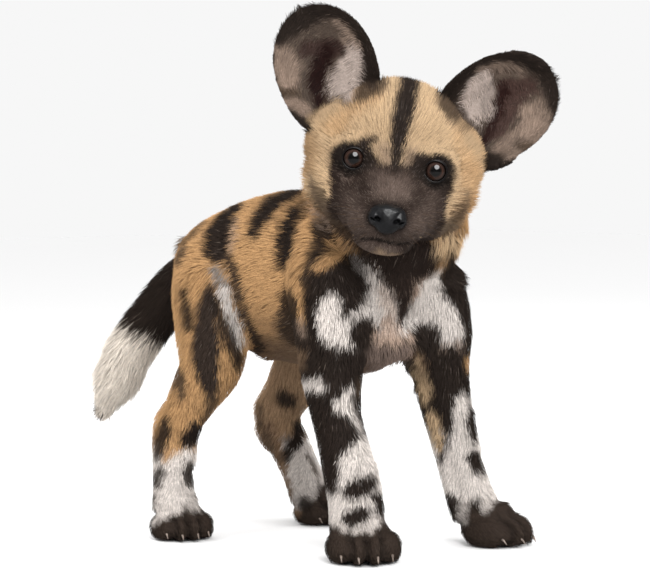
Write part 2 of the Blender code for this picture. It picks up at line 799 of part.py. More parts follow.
def build():
    clear_scene()

    head = fuse("head", head_masses(), HEAD_VOXEL, 6, HEAD_TRIANGLES)
    nose = make_nose()
    whole_head = grown(head)
    for side in (-1, 1):
        add_lids(head, side)
    cut_mouth(head)
    combine(head, grown(nose), "DIFFERENCE")
    ears = {
        "ear_right": make_ear("ear_right", (-0.046, 0.033, -0.036), math.radians(-27), math.radians(-8)),
        "ear_left": make_ear("ear_left", (0.0455, 0.031, -0.036), math.radians(48.0), math.radians(8)),
    }
    for ear in ears.values():
        cutter = whole_head.copy()
        cutter.data = whole_head.data.copy()
        bpy.context.scene.collection.objects.link(cutter)
        combine(ear, cutter, "DIFFERENCE")
    for obj in (head, nose, whole_head, *ears.values()):
        in_head_frame(obj)
    finish(head, "head", "coat")
    finish(nose, "nose", "nose")
    for name, ear in ears.items():
        finish(ear, name, "dark_coat")
    for side, name in ((-1, "eye_right"), (1, "eye_left")):
        finish(make_eye(side), name, "eye")

    body = fuse("torso", body_masses(), BODY_VOXEL, 8, BODY_TRIANGLES)
    combine(body, whole_head, "DIFFERENCE")
    tail_side = cut_box((-0.011, 0.157, 0.214), (-0.1, 0.72, -0.45), 0.060, 0.25)
    nodes = {
        "neck": part_off(body, "neck", *cut_box((0.007, -0.030, 0.243), (0, -0.75, 0.75), 0.15, 0.2)),
        "tail": part_off(body, "tail", *tail_side),
    }
    for name, stations in LEGS.items():
        leg = body.copy()
        leg.data = body.data.copy()
        bpy.context.scene.collection.objects.link(leg)
        sleeve = leg_sleeve(stations)
        combine(body, grown(sleeve), "DIFFERENCE")
        combine(leg, sleeve, "INTERSECT")
        below = Matrix.Translation((0, 0, PAW_CUT_HEIGHT + GAP - 0.2))
        combine(leg, box("below", below, (0.5, 0.5, 0.2)), "DIFFERENCE")
        nodes["leg_" + name] = leg
    nodes["torso"] = body
    combine(grow_brush(nodes["tail"]), box("behind_torso", *tail_side), "INTERSECT")
    for name, node in nodes.items():
        finish(node, name, "coat")

    for name in LEGS:
        paw = finish(make_paw(name), "paw_" + name, "dark_coat")
        for number, (across, ahead) in enumerate(TOES, start=1):
            claw = make_claw(name, across, ahead)
            combine(claw, grown(paw), "DIFFERENCE")
            finish(claw, f"claw_{name}_{number}", "claw")
    stand_on_origin()


build()
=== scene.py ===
# %% [markdown]
# An African wild dog pup of about nine weeks, standing as a still, life-size museum model.
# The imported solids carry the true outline, out to the tips of the coat. This script puts the animal
# on them: one skin under the whole coat, the coat itself in small tufts of solid mesh, the eyes with
# their lids, the nose and the claws. Nothing moves, so every piece rides on the one body, "root".

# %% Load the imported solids
import json
import math

import bpy
import numpy as np
from mathutils import Matrix, Quaternion, Vector, noise
from mathutils.bvhtree import BVHTree
from mathutils.kdtree import KDTree

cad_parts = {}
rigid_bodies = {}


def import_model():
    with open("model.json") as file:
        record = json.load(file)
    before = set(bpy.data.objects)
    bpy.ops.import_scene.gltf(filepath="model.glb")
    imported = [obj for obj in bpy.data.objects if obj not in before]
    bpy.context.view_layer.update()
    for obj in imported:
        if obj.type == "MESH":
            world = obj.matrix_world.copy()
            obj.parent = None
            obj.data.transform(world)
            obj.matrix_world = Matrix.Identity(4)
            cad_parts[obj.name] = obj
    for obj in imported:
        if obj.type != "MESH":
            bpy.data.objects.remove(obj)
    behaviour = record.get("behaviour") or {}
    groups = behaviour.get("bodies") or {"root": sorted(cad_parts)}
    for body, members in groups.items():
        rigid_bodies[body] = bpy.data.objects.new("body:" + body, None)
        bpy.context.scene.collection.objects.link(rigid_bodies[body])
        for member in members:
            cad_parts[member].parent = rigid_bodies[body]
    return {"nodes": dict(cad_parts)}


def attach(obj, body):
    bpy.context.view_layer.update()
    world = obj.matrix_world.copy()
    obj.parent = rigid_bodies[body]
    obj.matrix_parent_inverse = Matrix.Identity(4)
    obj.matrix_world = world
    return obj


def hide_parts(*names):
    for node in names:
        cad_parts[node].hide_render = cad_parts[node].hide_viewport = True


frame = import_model()
bpy.context.view_layer.update()

# %% [markdown]
# The camera stands where the photographer stood: low, in front of the pup's right shoulder, 1.8 m
# from its body. Its place was found from the four paws, which stand on one level floor. It could be
# aimed by eye, but then the markings, which are read off the photograph by their pixels, would land
# in the wrong place, so the same numbers aim the camera and send a ray through a pixel.

# %% The camera
PICTURE = (650, 573)
CAMERA_AT = Vector((-1.27562308, -1.45466018, 0.29710733))
CAMERA_TURN, CAMERA_DIP = math.radians(42.0), math.radians(3.0)
FOCAL_PIXELS = 2457.0
look = Vector((math.sin(CAMERA_TURN) * math.cos(CAMERA_DIP),
               math.cos(CAMERA_TURN) * math.cos(CAMERA_DIP), -math.sin(CAMERA_DIP)))
right = Vector((math.cos(CAMERA_TURN), -math.sin(CAMERA_TURN), 0.0))
up = right.cross(look)

lens = bpy.data.cameras.new("camera")
lens.sensor_width = 36.0
lens.sensor_fit = "HORIZONTAL"
lens.lens = FOCAL_PIXELS / PICTURE[0] * 36.0
lens.clip_start, lens.clip_end = 0.05, 50.0
camera = bpy.data.objects.new("camera", lens)
bpy.context.scene.collection.objects.link(camera)
camera.matrix_world = Matrix.Translation(CAMERA_AT) @ Matrix((right, up, -look)).transposed().to_4x4()
bpy.context.scene.camera = camera


def pixel_ray(x, y):
    """The direction from the camera through a pixel of the photograph."""
    ray = look * FOCAL_PIXELS + right * (x - PICTURE[0] / 2) - up * (y - PICTURE[1] / 2)
    return ray.normalized()


print("camera", [round(v, 3) for v in CAMERA_AT], "lens", round(lens.lens, 1), "mm")

# %% [markdown]
# Many of the sizes on the head are easiest to give in the head's own frame, because the pup has turned
# its head to the camera and tilted it. The origin lies between the eyes, x runs to the pup's left, y
# up through the crown and z out of the face. Each ear has a frame of its own on the head as well.

# %% The frames of the head and the ears
HEAD_AT = Vector((-0.026378, -0.143841, 0.292000))
HEAD_ROLL = math.radians(9.0)
level_left = Vector((math.cos(CAMERA_TURN), -math.sin(CAMERA_TURN), 0.0))
head_up = Vector((0, 0, 1)) * math.cos(HEAD_ROLL) + level_left * math.sin(HEAD_ROLL)
head_left = level_left * math.cos(HEAD_ROLL) - Vector((0, 0, 1)) * math.sin(HEAD_ROLL)
head_out = Vector((-math.sin(CAMERA_TURN), -math.cos(CAMERA_TURN), 0.0))
HEAD_AXES = np.array([head_left, head_up, head_out])
head_matrix = Matrix.Translation(HEAD_AT) @ Matrix(HEAD_AXES).transposed().to_4x4()

EARS = {"ear_right": ((-0.0460, 0.033, -0.036), -27.0, -8.0, 1.0),
        "ear_left": ((0.0455, 0.031, -0.036), 48.0, 8.0, -1.0)}


def in_head(points):
    """Points of the model in the head's frame."""
    return (points - np.array(HEAD_AT)) @ HEAD_AXES.T


def ear_axes(ear):
    """The three axes of an ear as rows, in the model's frame, and its root."""
    root, lean, turn, _ = EARS[ear]
    spin = Quaternion((0, 0, 1), math.radians(-lean)) @ Quaternion((0, 1, 0), math.radians(turn))
    axes = np.array(spin.to_matrix()).T @ HEAD_AXES
    return axes, np.array(head_matrix @ Vector(root))


def unit(rows):
    return rows / np.maximum(np.linalg.norm(rows, axis=-1, keepdims=True), 1e-9)


# %% Helpers: choose pieces, apply modifiers, read and write meshes
def only(*objects):
    """Select these objects and nothing else; the first becomes the active one."""
    bpy.ops.object.select_all(action="DESELECT")
    for obj in objects:
        obj.select_set(True)
    bpy.context.view_layer.objects.active = objects[0]


def apply_modifier(obj, kind, **settings):
    only(obj)
    modifier = obj.modifiers.new(kind.lower(), kind)
    for key, value in settings.items():
        setattr(modifier, key, value)
    bpy.ops.object.modifier_apply(modifier=modifier.name)


def copy_of(node):
    """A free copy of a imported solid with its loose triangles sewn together."""
    obj = bpy.data.objects.new(node + "_copy", frame["nodes"][node].data.copy())
    bpy.context.scene.collection.objects.link(obj)
    obj.data.materials.clear()
    only(obj)
    bpy.ops.object.mode_set(mode="EDIT")
    bpy.ops.mesh.select_all(action="SELECT")
    bpy.ops.mesh.remove_doubles(threshold=0.000002)
    bpy.ops.object.mode_set(mode="OBJECT")
    return obj


def joined(name, objects):
    only(*objects)
    bpy.ops.object.join()
    obj = bpy.context.view_layer.objects.active
    obj.name = obj.data.name = name
    return obj


def sphere(name, centre, radius, segments=24, rings=16):
    bpy.ops.object.select_all(action="DESELECT")
    bpy.ops.mesh.primitive_uv_sphere_add(segments=segments, ring_count=rings, radius=radius,
                                         location=centre)
    obj = bpy.context.object
    obj.name = obj.data.name = name
    only(obj)
    bpy.ops.object.transform_apply(location=True, rotation=True, scale=True)
    return obj


def read(items, field, width, kind=np.float32):
    values = np.empty(len(items) * width, kind)
    items.foreach_get(field, values)
    return values.reshape(-1, width).astype(float if kind == np.float32 else int)


def write_points(mesh, points):
    mesh.vertices.foreach_set("co", points.astype(np.float32).ravel())
    mesh.update()


def triangle_count(obj):
    return sum(len(p.vertices) - 2 for p in obj.data.polygons)


# %% [markdown]
# On the real pup one skin runs from the nose to the tail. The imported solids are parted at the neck,
# the shoulders and the paws, so copies of them are swollen by half a millimetre until the partings
# close, and a voxel remesh makes one sheet of them. Sculpting a skin by hand would lose the measured
# outline. The tail's solid carries its locks already, so its skin is only the core under the brush:
# a row of spheres along the tail bone. Spheres in the eye sockets close them under the eyes.

# %% One skin over all the flesh
SHIFT = np.array((0.001622, -0.051841, 0.004000))
TAIL = np.array(((-0.0090, 0.1400, 0.2220, 0.0220), (-0.0110, 0.1580, 0.2110, 0.0205),
                 (-0.0185, 0.1775, 0.1865, 0.0205), (-0.0268, 0.1960, 0.1628, 0.0205),
                 (-0.0348, 0.2130, 0.1388, 0.0205), (-0.0390, 0.2260, 0.1155, 0.0198),
                 (-0.0430, 0.2360, 0.0945, 0.0152), (-0.0455, 0.2430, 0.0720, 0.0020)))
TAIL[:, :3] += SHIFT
TAIL_CORE = 0.46
EYE_RADIUS, SOCKET_RADIUS = 0.0098, 0.01165
EYES = {"eye_right": np.array((-0.0306, 0.0, -0.0095)), "eye_left": np.array((0.0306, 0.0, -0.0095))}
LEGS = ["leg_front_right", "leg_front_left", "leg_hind_right", "leg_hind_left"]
PAWS = [leg.replace("leg", "paw") for leg in LEGS]
FLESH = ["head", "neck", "torso", *LEGS, *PAWS, "ear_right", "ear_left", "nose"]
SKIN_VOXEL = 0.0015
SKIN_TRIANGLES = 190000

eye_centres = {name: np.array(head_matrix @ Vector(place)) for name, place in EYES.items()}
flesh = [copy_of(node) for node in FLESH]
flesh += [sphere("socket", eye_centres[name], SOCKET_RADIUS) for name in EYES]
steps = np.linspace(0, len(TAIL) - 1.9, 46)
for k, step in enumerate(steps):
    row = np.array([np.interp(step, range(len(TAIL)), TAIL[:, c]) for c in range(4)])
    core = row[3] * (0.95 if step < 0.4 else TAIL_CORE)
    flesh.append(sphere(f"tail_core_{k}", row[:3], max(core, 0.003), 20, 12))
skin = joined("skin", flesh)
apply_modifier(skin, "DISPLACE", strength=0.0005, mid_level=0.0)
apply_modifier(skin, "REMESH", mode="VOXEL", voxel_size=SKIN_VOXEL)
apply_modifier(skin, "SMOOTH", factor=0.5, iterations=2)
only(skin)
bpy.ops.object.mode_set(mode="EDIT")
bpy.ops.mesh.select_all(action="DESELECT")
bpy.ops.object.mode_set(mode="OBJECT")
skin.data.vertices[int(np.argmax([v.co.z for v in skin.data.vertices]))].select = True
bpy.ops.object.mode_set(mode="EDIT")
bpy.ops.mesh.select_linked()
bpy.ops.mesh.select_all(action="INVERT")
bpy.ops.mesh.delete(type="VERT")
bpy.ops.object.mode_set(mode="OBJECT")
apply_modifier(skin, "DECIMATE", ratio=SKIN_TRIANGLES / triangle_count(skin))
apply_modifier(skin, "TRIANGULATE")
print("skin:", len(skin.data.vertices), "points,", triangle_count(skin), "triangles")

# %% [markdown]
# Every point of the skin needs to know which part of the body it belongs to, because length, lie and
# colour of the coat change from part to part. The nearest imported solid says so.

# %% Which part each point belongs to
skin_points = read(skin.data.vertices, "co", 3)
skin_edges = read(skin.data.edges, "vertices", 2, np.int32)
point_count = len(skin_points)
neighbours = np.bincount(skin_edges.ravel(), minlength=point_count).astype(float)


def smoothed(values, rounds):
    """A value on every point, averaged with the points next to it."""
    values = np.array(values, float)
    columns = values if values.ndim == 2 else values[:, None]
    first, second = skin_edges.T
    for _ in range(rounds):
        total = np.stack([np.bincount(first, c[second], point_count) + np.bincount(second, c[first], point_count)
                          for c in columns.T], axis=1)
        columns = 0.5 * columns + 0.5 * total / neighbours[:, None]
    return columns if values.ndim == 2 else columns[:, 0]


def tree_of(objects):
    """One search tree over several meshes, and the number of the mesh each face came from."""
    points, faces, owner = [], [], []
    for k, obj in enumerate(objects):
        start = len(points)
        points += [v.co.copy() for v in obj.data.vertices]
        faces += [tuple(start + i for i in p.vertices) for p in obj.data.polygons]
        owner += [k] * len(obj.data.polygons)
    return BVHTree.FromPolygons(points, faces), np.array(owner)


PARTS = [*FLESH, "tail"]
solid_tree, solid_owner = tree_of([frame["nodes"][node] for node in PARTS])
part_of = np.array([solid_owner[solid_tree.find_nearest(Vector(p))[2]] for p in skin_points])
# %% The tail brush reaches round its root, so only points close to the core count as tail
tail_line = TAIL[:, :3]
tail_steps = np.linspace(0, len(TAIL) - 1, 120)
tail_path = np.array([[np.interp(s, range(len(TAIL)), TAIL[:, c]) for c in range(3)] for s in tail_steps])
tail_near = np.linalg.norm(skin_points[:, None, :] - tail_path[None, ::2], axis=2)
tail_share = tail_steps[::2][tail_near.argmin(1)] / (len(TAIL) - 1)
tail_distance = tail_near.min(1)
widest = np.interp(tail_share, (0, 0.08, 0.20, 0.35, 1), (0.010, 0.016, 0.024, 0.034, 0.045))
body_tree, body_owner = tree_of([frame["nodes"][node] for node in FLESH])
for k in np.flatnonzero((part_of == PARTS.index("tail")) & (tail_distance > widest)):
    part_of[k] = body_owner[body_tree.find_nearest(Vector(skin_points[k]))[2]]
is_tail = part_of == PARTS.index("tail")
print("points on", {name: int((part_of == k).sum()) for k, name in enumerate(PARTS)})

# %% [markdown]
# How deep the coat stands, how long one tuft is and which way it lies are given part by part and then
# averaged over the skin, so nothing changes suddenly. A pup's hair lies away from the nose, over the
# crown and down the neck, backwards along the body and down the legs. It is shortest round the nose,
# the eyes and on the feet, and longest on the cheeks, the chest and the tail.

# %% Depth, length and lie of the coat
RULES = {"head": (0.0034, 0.0100, 0.00050), "neck": (0.0054, 0.0150, 0.00062),
         "torso": (0.0038, 0.0105, 0.00062), "leg": (0.0028, 0.0085, 0.00058),
         "paw": (0.0014, 0.0050, 0.00050), "ear": (0.0005, 0.0052, 0.00038),
         "tail": (0.0000, 0.0260, 0.00078), "nose": (0.0060, 0.0020, 0.00040)}
PAW_HEADINGS = {"paw_front_right": -36.0, "paw_front_left": 8.0, "paw_hind_right": -24.0, "paw_hind_left": -4.0}
NOSE_AT = np.array((0.0, -0.0395, 0.0335))

depth, length, width = (np.array([RULES[PARTS[k].split("_")[0]][c] for k in part_of]) for c in range(3))
lie = np.zeros((point_count, 3))
skin_normals = read(skin.data.vertices, "normal", 3)
head_points = in_head(skin_points)
height = skin_points[:, 2]


def on(*names):
    """Which points lie on these parts."""
    wanted = [k for k, part in enumerate(PARTS) if part in names or part.split("_")[0] in names]
    return np.isin(part_of, wanted)


from_nose = np.linalg.norm(head_points - NOSE_AT, axis=1)
face = on("head", "nose")
length[face] = np.interp(from_nose[face], (0.012, 0.030, 0.060, 0.100), (0.0022, 0.0044, 0.0090, 0.0125))
depth[face] = np.interp(from_nose[face], (0.012, 0.030, 0.060, 0.100), (0.0005, 0.0015, 0.0034, 0.0046))
width[face] = np.interp(from_nose[face], (0.012, 0.030, 0.060, 0.100), (0.00030, 0.00036, 0.00048, 0.00056))
cheek = face & (np.abs(head_points[:, 0]) > 0.044) & (head_points[:, 1] < 0.0)
length[cheek], depth[cheek] = 0.0125, 0.0050
lie[face] = (unit(head_points[face] - NOSE_AT) + (0, 0, -0.25)) @ HEAD_AXES
lie[on("neck")] = (0.0, 0.35, -0.90)
nape = on("neck") & (skin_normals[:, 2] > 0.3)
lie[nape] = (0.0, 0.90, -0.30)
lie[on("torso")] = (0.0, 0.95, -0.32)
front = on("torso") & (skin_points[:, 1] < -0.060) & (skin_normals[:, 2] < 0.5)
lie[front] = (0.0, 0.30, -0.95)
rump = on("torso") & (skin_normals[:, 1] > 0.45)
lie[rump] = (0.0, 0.10, -1.0)
belly = on("torso") & (skin_normals[:, 2] < -0.5)
lie[belly] = (0.0, 1.0, 0.0)
depth[belly], length[belly] = 0.0030, 0.0095
for leg in LEGS:
    lie[on(leg)] = (0.0, 0.30 if "hind" in leg else 0.12, -1.0)
lower = on("leg") & (height < 0.10)
length[lower] = np.interp(height[lower], (0.03, 0.10), (0.0060, 0.0080))
depth[lower] = np.interp(height[lower], (0.03, 0.10), (0.0020, 0.0027))
for paw, heading in PAW_HEADINGS.items():
    a = math.radians(heading)
    lie[on(paw)] = (math.sin(a), -math.cos(a), -0.75)
tail_way = unit(np.gradient(tail_path[::2], axis=0))
tail_index = tail_near.argmin(1)
brush_tip = CAMERA_AT + pixel_ray(99, 417) * (Vector(TAIL[-1, :3]) - CAMERA_AT).length
gather = np.interp(tail_share, (0.60, 0.95), (0.0, 0.85))[:, None]
gathered = tail_way[np.clip(tail_index + 3, 20, len(tail_way) - 1)] * (1 - gather) + unit(np.array(brush_tip) - skin_points) * gather
lie[is_tail] = gathered[is_tail]
print("coat: depth", depth.min(), "to", depth.max(), "length", length.min(), "to", length.max())

# %% [markdown]
# The cup of an ear is lined from its inner edge with long pale hair that sweeps across the opening,
# and from its outer edge with shorter hair that lies the other way. The back is short, dark and lies
# from the root to the rim. Each ear works in its own frame: x across, y from root to tip, z out.

# %% The ears' coat
ear_cups = {}
for ear in EARS:
    axes, root = ear_axes(ear)
    spot = (skin_points - root) @ axes.T
    facing = skin_normals @ axes.T
    here = on(ear)
    towards_head = EARS[ear][3]
    inside = here & (facing[:, 2] > 0.15)
    medial = spot[:, 0] * towards_head
    away = unit(np.stack([spot[:, 0], spot[:, 1] + 0.01, 0 * spot[:, 2]], axis=1))
    lie[here] = away[here] @ axes
    sweep = np.where(medial[:, None] > -0.004, (-towards_head, -0.25, 0.25), (towards_head * 0.8, 0.5, 0.1))
    rim = np.clip((np.hypot(spot[:, 0] / 0.039, (spot[:, 1] - 0.042) / 0.045) - 0.80) / 0.15, 0, 1)
    mixed = sweep * (1 - rim[:, None]) + away * rim[:, None]
    lie[inside] = mixed[inside] @ axes
    ear_cups[ear] = inside & (np.hypot((medial + 0.005) / 0.0320, (spot[:, 1] - 0.036) / 0.0370) < 1.0)
    length[here] = np.where(rim[here] > 0.4, 0.0012, length[here])
    lining = inside & (medial > 0.004) & (rim < 0.6) & (spot[:, 1] < 0.066)
    length[lining] = 0.0150
    length[inside & ~lining & (rim < 0.6)] = 0.0085
length, width = smoothed(length, 5), smoothed(width, 5)
depth = smoothed(depth, 12)
depth[on("nose")] = 0.0045
brush = np.interp(tail_share, (0.0, 0.10, 0.22, 0.70, 0.88), (0.0010, 0.0030, 0.0100, 0.0105, 0.0040))
fluff = np.interp(from_nose, (0.05, 0.08), (0.0, 0.0022)) * face
stand = smoothed(np.where(is_tail, brush, depth + fluff), 3)
length[is_tail] = np.interp(tail_share[is_tail], (0.0, 0.10, 0.25, 0.70, 0.95), (0.0050, 0.0110, 0.0250, 0.0260, 0.0190))
length[on("torso", "leg_hind_right", "leg_hind_left") & (skin_points[:, 1] > 0.075) & (skin_normals[:, 1] > 0.3)] *= 0.8
lie = unit(smoothed(unit(lie), 14))
print("ear points:", {ear: int(on(ear).sum()) for ear in EARS})

# %% [markdown]
# The skin is now let down by the coat's depth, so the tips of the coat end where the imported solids
# end. Round each eye it stays thin, as an eyelid does, and inside the opening between the lids it is
# tucked in behind the eyeball. The rim of the lid is a piece of its own.

# %% Hollows and grooves, by strokes through the camera and by the paws' own frames
def chain(points):
    """Points close together along a stroke, each with its radius."""
    rows = np.array(points, float)
    if len(rows) == 1:
        return rows
    out = []
    for a, b in zip(rows[:-1], rows[1:]):
        count = max(2, int(np.linalg.norm(b[:-1] - a[:-1]) / 2.5))
        out += [a + (b - a) * t for t in np.linspace(0, 1, count, endpoint=False)]
    return np.array([*out, rows[-1]])


def on_skin(points):
    """Pixels with a radius in pixels, as places on the skin with a radius in metres."""
    found = []
    for x, y, r in chain(points):
        hit, _, _, far = surface_tree.ray_cast(CAMERA_AT, pixel_ray(x, y))
        if hit is not None:
            found.append((*hit, r * far / FOCAL_PIXELS))
    return np.array(found)


def closeness(spots, soft):
    """1 inside the spots, falling to 0 within the distance `soft` outside them."""
    share = np.zeros(point_count)
    for spot in spots:
        gap = np.linalg.norm(surface - spot[:3], axis=1) - spot[3]
        share = np.maximum(share, np.clip(1 - gap / soft, 0, 1))
    return share * share * (3 - 2 * share)


skin_faces = read(skin.data.loops, "vertex_index", 1, np.int32).reshape(-1, 3)
surface, surface_tree = skin_points, BVHTree.FromPolygons(skin_points.tolist(), skin_faces.tolist())
HOLLOWS = [(0.0035, 0.012, [(307, 170, 3), (308, 186, 5), (312, 200, 5)]),
           (0.0045, 0.012, [(473, 198, 5), (470, 214, 7), (465, 228, 7)]),
           (-0.0035, 0.009, [(469, 414, 3), (471, 430, 3), (475, 446, 3)]),
           (0.0018, 0.004, [(231, 282, 1.5), (237, 302, 1.5), (242, 318, 1.5)]),
           (0.0016, 0.004, [(306, 300, 1.5), (306, 320, 1.5), (310, 342, 1.5), (318, 356, 1.5)]),
           (0.0014, 0.004, [(322, 262, 1.5), (334, 268, 1.5), (346, 262, 1.5)]),
           (-0.0045, 0.009, [(193, 428, 3), (191, 442, 4), (190, 460, 3)]),
           (-0.0060, 0.009, [(148, 358, 4), (139, 376, 4), (130, 392, 3)]),
           (0.0030, 0.008, [(103, 366, 3), (96, 386, 3), (95, 400, 2)]),
           (-0.0030, 0.010, [(259, 432, 3), (268, 452, 3), (277, 472, 3), (286, 492, 3)]),
           (-0.0030, 0.008, [(373, 468, 3), (378, 488, 3), (380, 508, 3)]),
           (0.0012, 0.008, [(366, 410, 3), (370, 436, 3)]),
           (-0.0034, 0.008, [(419, 390, 3), (427, 415, 3), (435, 440, 3), (442, 466, 3), (449, 490, 3), (455, 512, 3)]),
           (-0.0032, 0.010, [(177, 350, 3), (174, 368, 3)]),
           (0.0020, 0.009, [(164, 398, 3), (158, 410, 3)]),
           (-0.0040, 0.010, [(266, 354, 4)]),
           (-0.0050, 0.012, [(458, 257, 4), (462, 266, 3)]),
           (0.0048, 0.012, [(466, 230, 5), (466, 240, 4)]),
           (-0.0034, 0.010, [(280, 95, 3), (286, 110, 3), (296, 123, 3)]),
           (-0.0016, 0.016, [(524, 55, 3), (537, 61, 3)]),
           (-0.0038, 0.010, [(492, 164, 3), (505, 162, 3), (518, 157, 3)]),
           (0.0030, 0.008, [(171, 338, 5), (173, 346, 3)]),
           (0.0014, 0.0022, [(345, 235, 0.8), (362, 240, 1.0), (383, 241, 1.0), (395, 245, 1.0), (410, 243, 0.9), (430, 234, 0.6)])]
for amount, soft, points in HOLLOWS:
    depth += amount * closeness(on_skin(points), soft)
depth -= is_tail * np.interp(tail_share, (0.0, 0.15, 0.30, 0.70, 0.85, 1.0), (0.0, 0.0018, 0.0028, 0.0028, -0.0010, -0.0030))
groove = np.zeros(point_count)
PAW_PLACES = {"paw_front_right": (-0.053, -0.085, 1.00), "paw_front_left": (0.077, -0.092, 1.00),
              "paw_hind_right": (-0.083, 0.092, 0.88), "paw_hind_left": (0.053, 0.080, 0.88)}
for paw, (x, y, size) in PAW_PLACES.items():
    a = math.radians(PAW_HEADINGS[paw])
    flat = (skin_points[:, :2] - (x + SHIFT[0], y + SHIFT[1])) / size
    across = flat[:, 0] * math.cos(a) + flat[:, 1] * math.sin(a)
    ahead = flat[:, 0] * math.sin(a) - flat[:, 1] * math.cos(a)
    between = np.min([np.abs(across - place * (1 - 0.004 / 0.02)) for place in (-0.0150, 0.0, 0.0150)], axis=0)
    here = on(paw) * np.clip((ahead - 0.004) / 0.010, 0, 1) * np.clip((0.030 - height) / 0.008, 0, 1)
    groove = np.maximum(groove, here * np.exp(-((between / 0.0017) ** 2)))
depth += groove * 0.0024

# %% Let the skin down and open the eyes
OPENING_WIDTH, OPENING_HEIGHT = 0.0104, 0.0100
for name, place in EYES.items():
    flat = np.hypot((head_points[:, 0] - place[0]) / OPENING_WIDTH, (head_points[:, 1] - place[1]) / OPENING_HEIGHT)
    near = np.where(head_points[:, 2] > place[2] - 0.002, flat, 9.0)
    ring = np.clip((near - 1.1) / 0.9, 0, 1)
    depth = np.where(near < 2.0, 0.0012 + (depth - 0.0012) * ring, depth)
    stand = np.where(near < 2.0, depth, stand)
    length = np.where(near < 2.2, 0.0024 + (length - 0.0024) * np.clip((near - 1.0) / 1.2, 0, 1), length)
    width = np.where(near < 2.2, np.minimum(width, 0.00042), width)
inner = skin_points - skin_normals * depth[:, None]
for name, place in EYES.items():
    flat = np.hypot((head_points[:, 0] - place[0]) / OPENING_WIDTH, (head_points[:, 1] - place[1]) / OPENING_HEIGHT)
    open_here = (flat < 1.0) & (head_points[:, 2] > place[2])
    inner[open_here] = eye_centres[name] + unit(inner[open_here] - eye_centres[name]) * 0.0084
write_points(skin.data, inner)
apply_modifier(skin, "SMOOTH", factor=0.3, iterations=1)
skin_points = read(skin.data.vertices, "co", 3)
skin_normals = read(skin.data.vertices, "normal", 3)


def in_picture():
    """Where the camera sees the outside of the coat over each point, and how squarely."""
    seen_from = skin_points + skin_normals * (stand * 0.85)[:, None] - np.array(CAMERA_AT)
    far = seen_from @ np.array(look)
    return (PICTURE[0] / 2 + FOCAL_PIXELS * (seen_from @ np.array(right)) / far,
            PICTURE[1] / 2 - FOCAL_PIXELS * (seen_from @ np.array(up)) / far,
            far, (skin_normals * unit(seen_from)).sum(1))


across, down, far, towards = in_picture()
chest_line = np.interp(across, (352, 364, 383, 404, 414), (382, 373, 366, 354, 346))
over = np.where((across > 350) & (across < 420), np.clip(down - chest_line, 0, 26), 0) * on("torso")
skin_points[:, 2] += smoothed(over, 6) * 0.95 * far / FOCAL_PIXELS
write_points(skin.data, skin_points)
skin_normals = read(skin.data.vertices, "normal", 3)
only(skin)
bpy.ops.object.shade_smooth()
print("skin let down by", round(float(depth.mean()) * 1000, 2), "mm on average")

# %% [markdown]
# No two wild dogs are marked alike, so the markings follow the photograph. Each mark is a brush
# stroke: a few pixels with a radius, sent through the camera onto the skin and painted there by
# distance, with a ragged edge. The far side, which the photograph doesn't show, gets the near side's
# strokes mirrored and shifted.

# %% The colours of the coat
TAN = np.array((0.47, 0.270, 0.122))
PALE_TAN = np.array((0.53, 0.370, 0.220))
BROWN = np.array((0.160, 0.100, 0.060))
DARK_BROWN = np.array((0.070, 0.046, 0.030))
BLACK = np.array((0.021, 0.0140, 0.0105))
MASK = np.array((0.024, 0.0148, 0.0112))
GREY = np.array((0.150, 0.108, 0.088))
WHITE = np.array((0.70, 0.635, 0.585))
CREAM = np.array((0.74, 0.66, 0.57))
PAW_DARK = np.array((0.044, 0.030, 0.0225))
EAR_RED = np.array((0.0105, 0.0028, 0.0019))
EAR_BROWN = np.array((0.040, 0.0215, 0.0175))
PINK_GREY = np.array((0.27, 0.195, 0.150))
LINING = np.array((0.44, 0.36, 0.315))

across, down, _, towards = in_picture()
colour = np.tile(TAN, (point_count, 1))
colour[face] = PALE_TAN * 0.95
colour[on("nose")] = BLACK * 0.4
colour[on("paw")] = PAW_DARK
colour[on("ear")] = BLACK
for ear in EARS:
    colour[ear_cups[ear]] = PINK_GREY * 0.32
colour[on("tail")] = BLACK
# Painted shade with the belly's own brown: the torso is blended towards brown the more it faces down.
under = np.clip((-skin_normals[:, 2] - 0.2) / 0.5, 0, 1)[:, None] * on("torso")[:, None]
colour = colour * (1 - under) + BROWN * 0.8 * under
# Painted shade: the far hind leg gets a darker, browner tan on the side the camera sees, partly its own brownish hair,
# partly the shadow it stands in.
colour[on("leg_hind_left") & (towards < 0)] = (0.30, 0.19, 0.11)
shin = on("leg_hind_right", "leg_hind_left") & (height < 0.066)
colour[shin] = WHITE
fore = on("leg_front_right", "leg_front_left")
colour[fore] = BLACK
colour[fore & (height < 0.085)] = WHITE
brush_line = 328 + (across - 112) * 0.5 + 4 * np.sin(across * 0.7)
colour[on("tail") & (tail_share > 0.3) & (down > brush_line)] = CREAM
# Painted shade: the grooves between the toes are darkened, where shade falls between them.
colour *= 1 - 0.55 * groove[:, None]
colour[on("neck") & (towards < 0.3) & (across > 352) & (across < 436) & (down > 220)] = MASK
colour[on("neck") & (towards < 0.3) & (across <= 352) & (down > 205)] = BROWN * 1.5
front = on("torso") & (towards < 0.3) & (across > 366) & (across < 430) & (down > 262)
colour[front] = PINK_GREY * 1.5
colour[front & (down > 346)] = GREY * 1.2
back_of_head = on("head", "neck") & (head_points[:, 2] < 0.03) & (towards > 0)
colour[on("head") & (head_points[:, 2] < 0.0) & (towards > 0.1)] = TAN
nape = np.clip((0.0085 - np.abs(head_points[:, 0])) / 0.003, 0, 1)[:, None] * back_of_head[:, None]
colour = colour * (1 - nape) + BLACK * nape
colour = smoothed(colour, 4)

